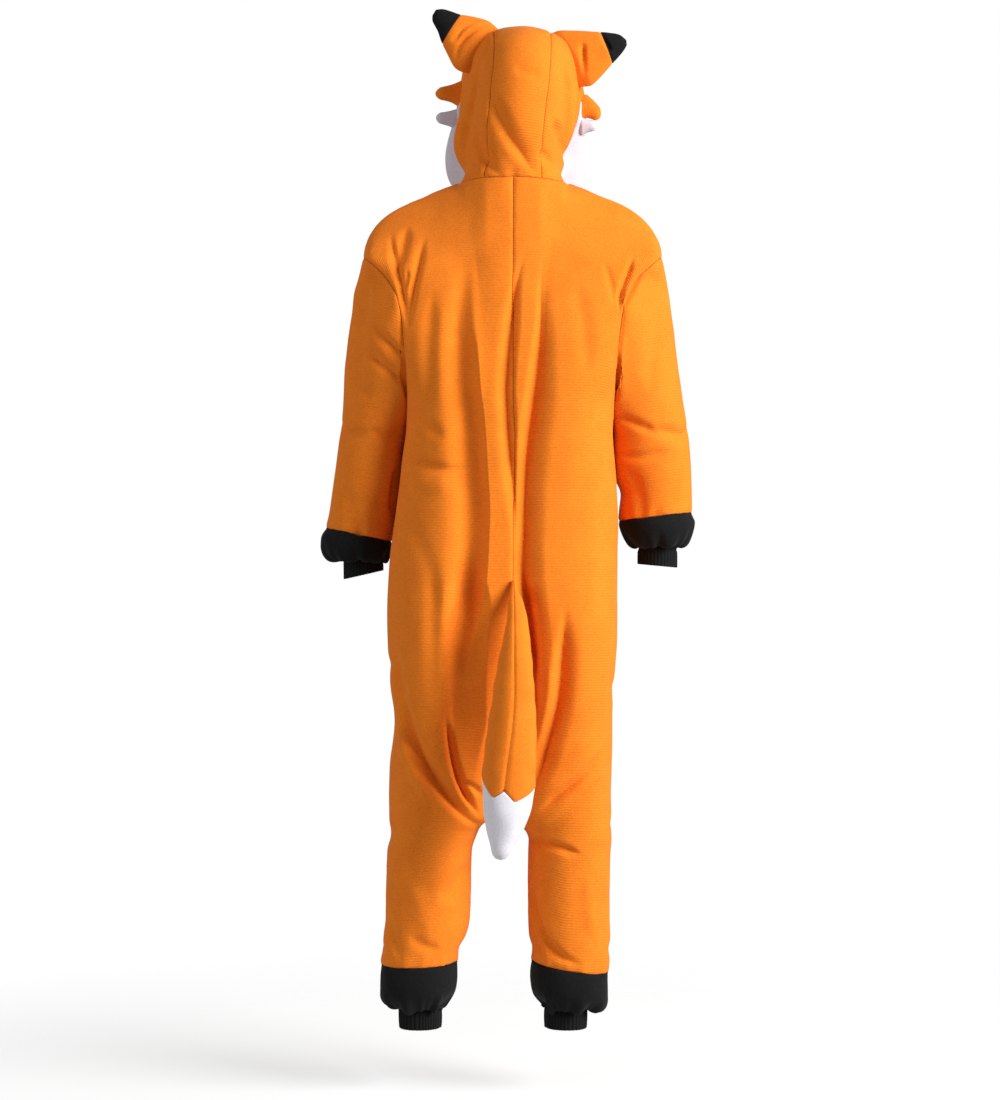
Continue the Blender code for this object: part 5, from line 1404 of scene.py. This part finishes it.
def tube(path, radius, count=8):
    """Points and faces of a closed thin tube along a path."""
    path = np.array(path, float)
    points, last = [], None
    for p, run in zip(path, np.gradient(path, axis=0)):
        run = Vector(run).normalized()
        last = (run.orthogonal() if last is None else last - run * last.dot(run)).normalized()
        other = run.cross(last)
        points += [tuple(Vector(p) + radius * (math.cos(a) * last + math.sin(a) * other))
                   for a in 2 * math.pi * np.arange(count) / count]
    return points + [tuple(path[0]), tuple(path[-1])], ring_faces(len(path), count)


def joined(parts):
    """The points and faces of several parts as one."""
    points, faces = [], []
    for more, more_faces in parts:
        faces += [tuple(v + len(points) for v in face) for face in more_faces]
        points += more
    return points, faces


def place_button(number, tree, whole, plastic, thread):
    """A button where its CAD node is, lying on the placket, with its thread."""
    name = f"button_{number}"
    lo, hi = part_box(name)
    middle = 0.5 * (lo + hi)
    normal = sorted((p.normal for p in frame["nodes"][name].data.polygons),
                    key=lambda n: n.y)[0].copy()
    turn = normal.to_track_quat("Z", "Y").to_matrix().to_4x4()
    cloth, _, _, _ = tree.ray_cast(middle + normal * 0.02, -normal)
    seat = Matrix.Translation(cloth + normal * (PLACKET_LIFT + BUTTON_LIFT))
    mesh = whole.copy()
    mesh.transform(turn)
    mesh.transform(seat)
    item = new_object(name, mesh, plastic)
    mesh.set_sharp_from_angle(angle=BUTTON_SHARP)
    declare(item, "button_plastic", name)
    top, reach = BUTTON_THICKNESS - BUTTON_DISH, BUTTON_HOLE_PLACE
    arch = ((-1, -0.0012), (-1, 0.0001), (-0.5, 0.0005), (0, 0.0006), (0.5, 0.0005),
            (1, 0.0001), (1, -0.0012))    # along the thread as shares of reach, and height
    loops = [tube([(reach * along, y + shift, top + height) for along, height in arch],
                  THREAD_RADIUS)
             for y in (-reach, reach) for shift in (-THREAD_APART, THREAD_APART)]
    mesh = solid_mesh(f"thread_{number}", *joined(loops))
    mesh.transform(turn)
    mesh.transform(seat)
    declare(new_object(f"thread_{number}", mesh, thread), "orange_fleece")


def stitches(name, path, normals, material, slot):
    """A line of machine stitches along a path on the cloth."""
    path, normals = np.array(path, float), np.array(normals, float)
    travelled = np.concatenate([[0], np.cumsum(np.linalg.norm(np.diff(path, axis=0), axis=1))])
    rise = STITCH_RADIUS * np.array((-1.6, 0.0, 1.0, 0.0, -1.6)) + STITCH_LIFT
    parts, start = [], 0.0
    while start + STITCH_LENGTH < travelled[-1]:
        at = start + STITCH_LENGTH * np.array((0, 0.2, 0.5, 0.8, 1))
        line, out = (np.stack([np.interp(at, travelled, values[:, k]) for k in range(3)], axis=1)
                     for values in (path, normals))
        parts.append(tube(line + out * rise[:, None], STITCH_RADIUS, 6))
        start += STITCH_LENGTH + STITCH_GAP
    declare(new_object(name, solid_mesh(name, *joined(parts)), material), slot)


# ---------------------------------------------------------------- materials

class Nodes:
    """A material's shader nodes, made by short calls."""

    def __init__(self, name):
        self.material = bpy.data.materials.new(name)
        self.material.use_nodes = True
        self.tree = self.material.node_tree
        self.shader = self.tree.nodes["Principled BSDF"]

    def node(self, kind, **values):
        """A node, with its settings and the values of its sockets by name."""
        made = self.tree.nodes.new(kind)
        for key, value in values.items():
            if hasattr(made, key):
                setattr(made, key, value)
            else:
                made.inputs[key.replace("_", " ")].default_value = value
        return made

    def link(self, output, socket):
        self.tree.links.new(output, socket)

    def put(self, value, socket):
        """Gives a socket a number, a colour or another node's output."""
        if isinstance(value, (int, float)):
            socket.default_value = value
        elif isinstance(value, tuple):
            socket.default_value = (*value, 1)
        else:
            self.link(value, socket)

    def noise(self, scale, detail, roughness, vector, distortion=0.0):
        made = self.node("ShaderNodeTexNoise", Scale=scale, Detail=detail,
                         Roughness=roughness, Distortion=distortion)
        self.link(vector, made.inputs["Vector"])
        return made.outputs["Fac"]

    def knit(self, scale, distortion, detail, detail_scale):
        """Rows of knitting across the cloth."""
        made = self.node("ShaderNodeTexWave", wave_type="BANDS", bands_direction="Y",
                         wave_profile="SIN", Scale=scale, Distortion=distortion,
                         Detail=detail, Detail_Scale=detail_scale)
        self.link(self.place("UV"), made.inputs["Vector"])
        return made.outputs["Fac"]

    def math(self, operation, first, second):
        made = self.node("ShaderNodeMath", operation=operation)
        self.put(first, made.inputs[0])
        self.put(second, made.inputs[1])
        return made.outputs[0]

    def blend(self, first, share, second):
        """Two heights added, the first with this share and the second with the rest."""
        return self.math("ADD", self.math("MULTIPLY", first, share),
                         self.math("MULTIPLY", second, round(1 - share, 6)))

    def ramp(self, value, stops):
        made = self.node("ShaderNodeValToRGB")
        elements = made.color_ramp.elements
        while len(elements) < len(stops):
            elements.new(0.5)
        for element, (place, colour) in zip(elements, stops):
            element.position = place
            element.color = (*colour, 1)
        self.link(value, made.inputs["Fac"])
        return made.outputs["Color"]

    def mix(self, share, first, second):
        made = self.node("ShaderNodeMix", data_type="RGBA", blend_type="MIX")
        for number, value in ((0, share), (6, first), (7, second)):
            self.put(value, made.inputs[number])
        return made.outputs[2]

    def bump(self, height, strength, distance, after=None):
        made = self.node("ShaderNodeBump", Strength=strength, Distance=distance)
        self.link(height, made.inputs["Height"])
        if after is not None:
            self.link(after, made.inputs["Normal"])
        return made.outputs["Normal"]

    def place(self, name="Object"):
        return self.node("ShaderNodeTexCoord").outputs[name]

    def finish(self, colour, roughness, normal, sheen=0.0, sheen_tint=(1, 1, 1),
               sheen_roughness=0.5, specular=0.25):
        for name, value in (("Base Color", colour), ("Roughness", roughness),
                            ("Normal", normal), ("Sheen Weight", sheen),
                            ("Sheen Tint", sheen_tint), ("Sheen Roughness", sheen_roughness),
                            ("Specular IOR Level", specular)):
            self.put(value, self.shader.inputs[name])
        return self.material


def fleece(name, deep, usual, light, ribs, sheen, sheen_tint):
    """Brushed fleece: mottled nap over a knit with faint rows across the cloth."""
    nodes = Nodes(name)
    place = nodes.place()
    patches = nodes.noise(26.0, 3.0, 0.55, place, 0.4)
    nap = nodes.noise(420.0, 3.0, 0.6, place)
    fuzz = nodes.noise(1500.0, 2.0, 0.6, place)
    colour = nodes.ramp(nodes.blend(patches, 0.25, nap),
                        ((0.34, deep), (0.50, usual), (0.66, light)))
    normal = nodes.bump(nodes.blend(nap, 0.6, fuzz), 0.55, 0.0007)
    if ribs:
        uneven = nodes.math("ADD", nodes.noise(34.0, 2.0, 0.5, place), 0.1)
        broken = nodes.math("MULTIPLY", nodes.knit(FLEECE_ROWS, 1.3, 2.0, 0.6), uneven)
        colour = nodes.mix(nodes.math("MULTIPLY", broken, ribs), colour, light)
        normal = nodes.bump(broken, 0.5, 0.0010, normal)
    return nodes.finish(colour, 0.92, normal, sheen, sheen_tint, 0.45, 0.15)


def rib_knit(name, deep, light):
    """Knitted rib of the cuffs: fine rows of stitches over the modelled ribs."""
    nodes = Nodes(name)
    fuzz = nodes.noise(900.0, 2.0, 0.6, nodes.place())
    colour = nodes.ramp(fuzz, ((0.35, deep), (0.65, light)))
    height = nodes.blend(nodes.knit(RIB_ROWS, 0.8, 1.0, 1.0), 0.5, fuzz)
    return nodes.finish(colour, 0.88, nodes.bump(height, 0.5, 0.0006), 0.04,
                        (0.6, 0.6, 0.65), 0.4, 0.15)


def button_plastic():
    nodes = Nodes("button_plastic_look")
    place = nodes.place()
    swirl = nodes.noise(160.0, 2.0, 0.5, place, 1.5)
    colour = nodes.ramp(swirl, ((0.30, (0.50, 0.17, 0.030)), (0.55, (0.66, 0.26, 0.05)),
                                (0.75, (0.74, 0.34, 0.09))))
    wear = nodes.noise(700.0, 3.0, 0.6, place)
    rough = nodes.math("ADD", nodes.math("MULTIPLY", wear, 0.25), 0.25)
    return nodes.finish(colour, rough, nodes.bump(wear, 0.15, 0.0002), specular=0.5)


def thread_look():
    nodes = Nodes("thread_look")
    twist = nodes.noise(2600.0, 1.0, 0.5, nodes.place())
    colour = nodes.ramp(twist, ((0.35, (0.50, 0.17, 0.02)), (0.65, (0.80, 0.33, 0.06))))
    return nodes.finish(colour, 0.7, nodes.bump(twist, 0.4, 0.0002), 0.15, (1, 0.8, 0.6),
                        0.4, 0.3)


# ---------------------------------------------------------------- the stage

def floor():
    """A pale floor that fades out into the white around it."""
    mesh = bpy.data.meshes.new("floor")
    reach = FLOOR_REACH
    mesh.from_pydata([(-reach, -reach, FLOOR), (reach, -reach, FLOOR), (reach, reach, FLOOR),
                      (-reach, reach, FLOOR)], [], [(0, 1, 2, 3)])
    nodes = Nodes("floor_look")
    place = nodes.place()
    speck = nodes.noise(3.0, 3.0, 0.5, place)
    colour = nodes.ramp(speck, ((0.3, (0.90, 0.90, 0.90)), (0.7, (0.93, 0.93, 0.93))))
    nodes.finish(colour, 0.9, nodes.bump(nodes.noise(60.0, 2.0, 0.5, place), 0.05, 0.001))
    spot = nodes.node("ShaderNodeTexGradient", gradient_type="SPHERICAL")
    shrink = nodes.node("ShaderNodeMapping", Location=(0, 0, -FLOOR / FLOOR_SPOT),
                        Scale=(1 / FLOOR_SPOT,) * 3)
    nodes.link(place, shrink.inputs["Vector"])
    nodes.link(shrink.outputs["Vector"], spot.inputs["Vector"])
    shown = nodes.math("MULTIPLY", nodes.math("SMOOTH_MIN", spot.outputs["Fac"], 0.6),
                       FLOOR_SHOWN)
    nodes.link(shown, nodes.shader.inputs["Alpha"])
    new_object("floor", mesh, nodes.material)


def light(name, place, power, size):
    data = bpy.data.lights.new(name, "AREA")
    data.energy = power
    data.shape = "DISK"
    data.size = size
    item = linked(name, data)
    item.location = place
    item.rotation_euler = (LIGHT_AIM - Vector(place)).to_track_quat("-Z", "Y").to_euler()


def world():
    """White to the eye, and softer as a light."""
    made = bpy.data.worlds.new("studio")
    made.use_nodes = True
    tree = made.node_tree
    background = tree.nodes["Background"]
    path = tree.nodes.new("ShaderNodeLightPath")
    strength = tree.nodes.new("ShaderNodeMapRange")
    strength.inputs["To Min"].default_value = WORLD_LIGHT
    strength.inputs["To Max"].default_value = 1.0
    tree.links.new(path.outputs["Is Camera Ray"], strength.inputs["Value"])
    tree.links.new(strength.outputs["Result"], background.inputs["Strength"])
    background.inputs["Color"].default_value = (1, 1, 1, 1)
    bpy.context.scene.world = made


def stage():
    floor()
    world()
    for row in LIGHTS:
        light(*row)
    camera = bpy.data.cameras.new("camera")
    camera.sensor_fit = "VERTICAL"
    camera.sensor_height = 24.0
    camera.lens = camera.sensor_height * CAMERA_DISTANCE / VIEW_HEIGHT
    camera.clip_end = 50.0
    item = linked("camera", camera)
    item.location = (CAMERA_X, CAMERA_DISTANCE, CAMERA_Z)
    item.rotation_euler = (math.radians(90), 0, math.radians(180))
    bpy.context.scene.camera = item
    bpy.context.scene.view_settings.view_transform = "Standard"


# ---------------------------------------------------------------- assembly

def front_edge_path(tree, offset):
    """Points and normals on the placket, at a distance beside the centre front."""
    out, normals = [], []
    for drop in np.arange(*STITCH_DROPS):
        hit, normal, _, _ = tree.ray_cast(Vector((offset, -0.6, -drop)), Vector((0, 1, 0)))
        if hit is not None:
            out.append(np.array(hit) + np.array(normal) * PLACKET_LIFT)
            normals.append(np.array(normal))
    return out, normals


def main():
    orange = fleece("orange_fleece_look", *ORANGE, KNIT_SHARE, 0.10, WARM)
    plain_orange = fleece("orange_fleece_stuffed_look", *ORANGE, 0.0, 0.10, WARM)
    black = fleece("black_fleece_look", *BLACK, 0.0, 0.06, (0.5, 0.5, 0.55))
    # the cheeks' and tufts' white is darkened, painted shade; the tail tip's white is the same
    # cloth lightened, painted light
    white = fleece("white_fleece_painted_shade_look", *WHITE_PAINTED_SHADE, 0.0, 0.05, (1, 1, 1))
    painted_light_tip_white = fleece("white_fleece_tip_painted_light_look", *TIP_WHITE_PAINTED_LIGHT, 0.0, 0.08, (1, 1, 1))
    rib = rib_knit("black_rib_look", *BLACK_RIB)
    plastic, thread = button_plastic(), thread_look()
    skin = Skin(make_cage())
    shape_skin(skin)
    panel(skin, "hood_centre", FLEECE, orange, "orange_fleece")
    for _, side in SIDES:
        for parts, thickness, material, slot in (
                (("back", "front", "sleeve", "hood_side"), FLEECE, orange, "orange_fleece"),
                (("sleeve_band", "leg_band"), FLEECE, black, "black_fleece"),
                (("sleeve_cuff", "leg_cuff"), RIB, rib, "black_rib"),
                (("hood_cheek",), FLEECE, white, "white_fleece")):
            for part in parts:
                panel(skin, f"{part}_{side}", thickness, material, slot)
    panel(skin, "placket", FLEECE, orange, "orange_fleece",
          ("front_left_strip", "front_right_strip"), PLACKET_LIFT)
    tree = BVHTree.FromPolygons([Vector(p) for p in skin.points], skin.quads.tolist())
    for _, side in SIDES:
        ear(side, tree, plain_orange, black)
        tuft(f"tuft_orange_{side}", tree, plain_orange, "orange_fleece")
        tuft(f"tuft_white_{side}", tree, white, "white_fleece")
    for row in SIDES:
        tail_half(*row, plain_orange)
    # the tip gets the lightened white, painted light
    tail_tip(painted_light_tip_white)
    whole = button_mesh()
    for number in range(BUTTONS):
        place_button(number + 1, tree, whole, plastic, thread)
    for side, side_name in SIDES:
        path, normals = front_edge_path(tree, side * STITCH_LINE)
        stitches(f"placket_stitches_{side_name}", path, normals, thread, "orange_fleece")
    stage()


main()
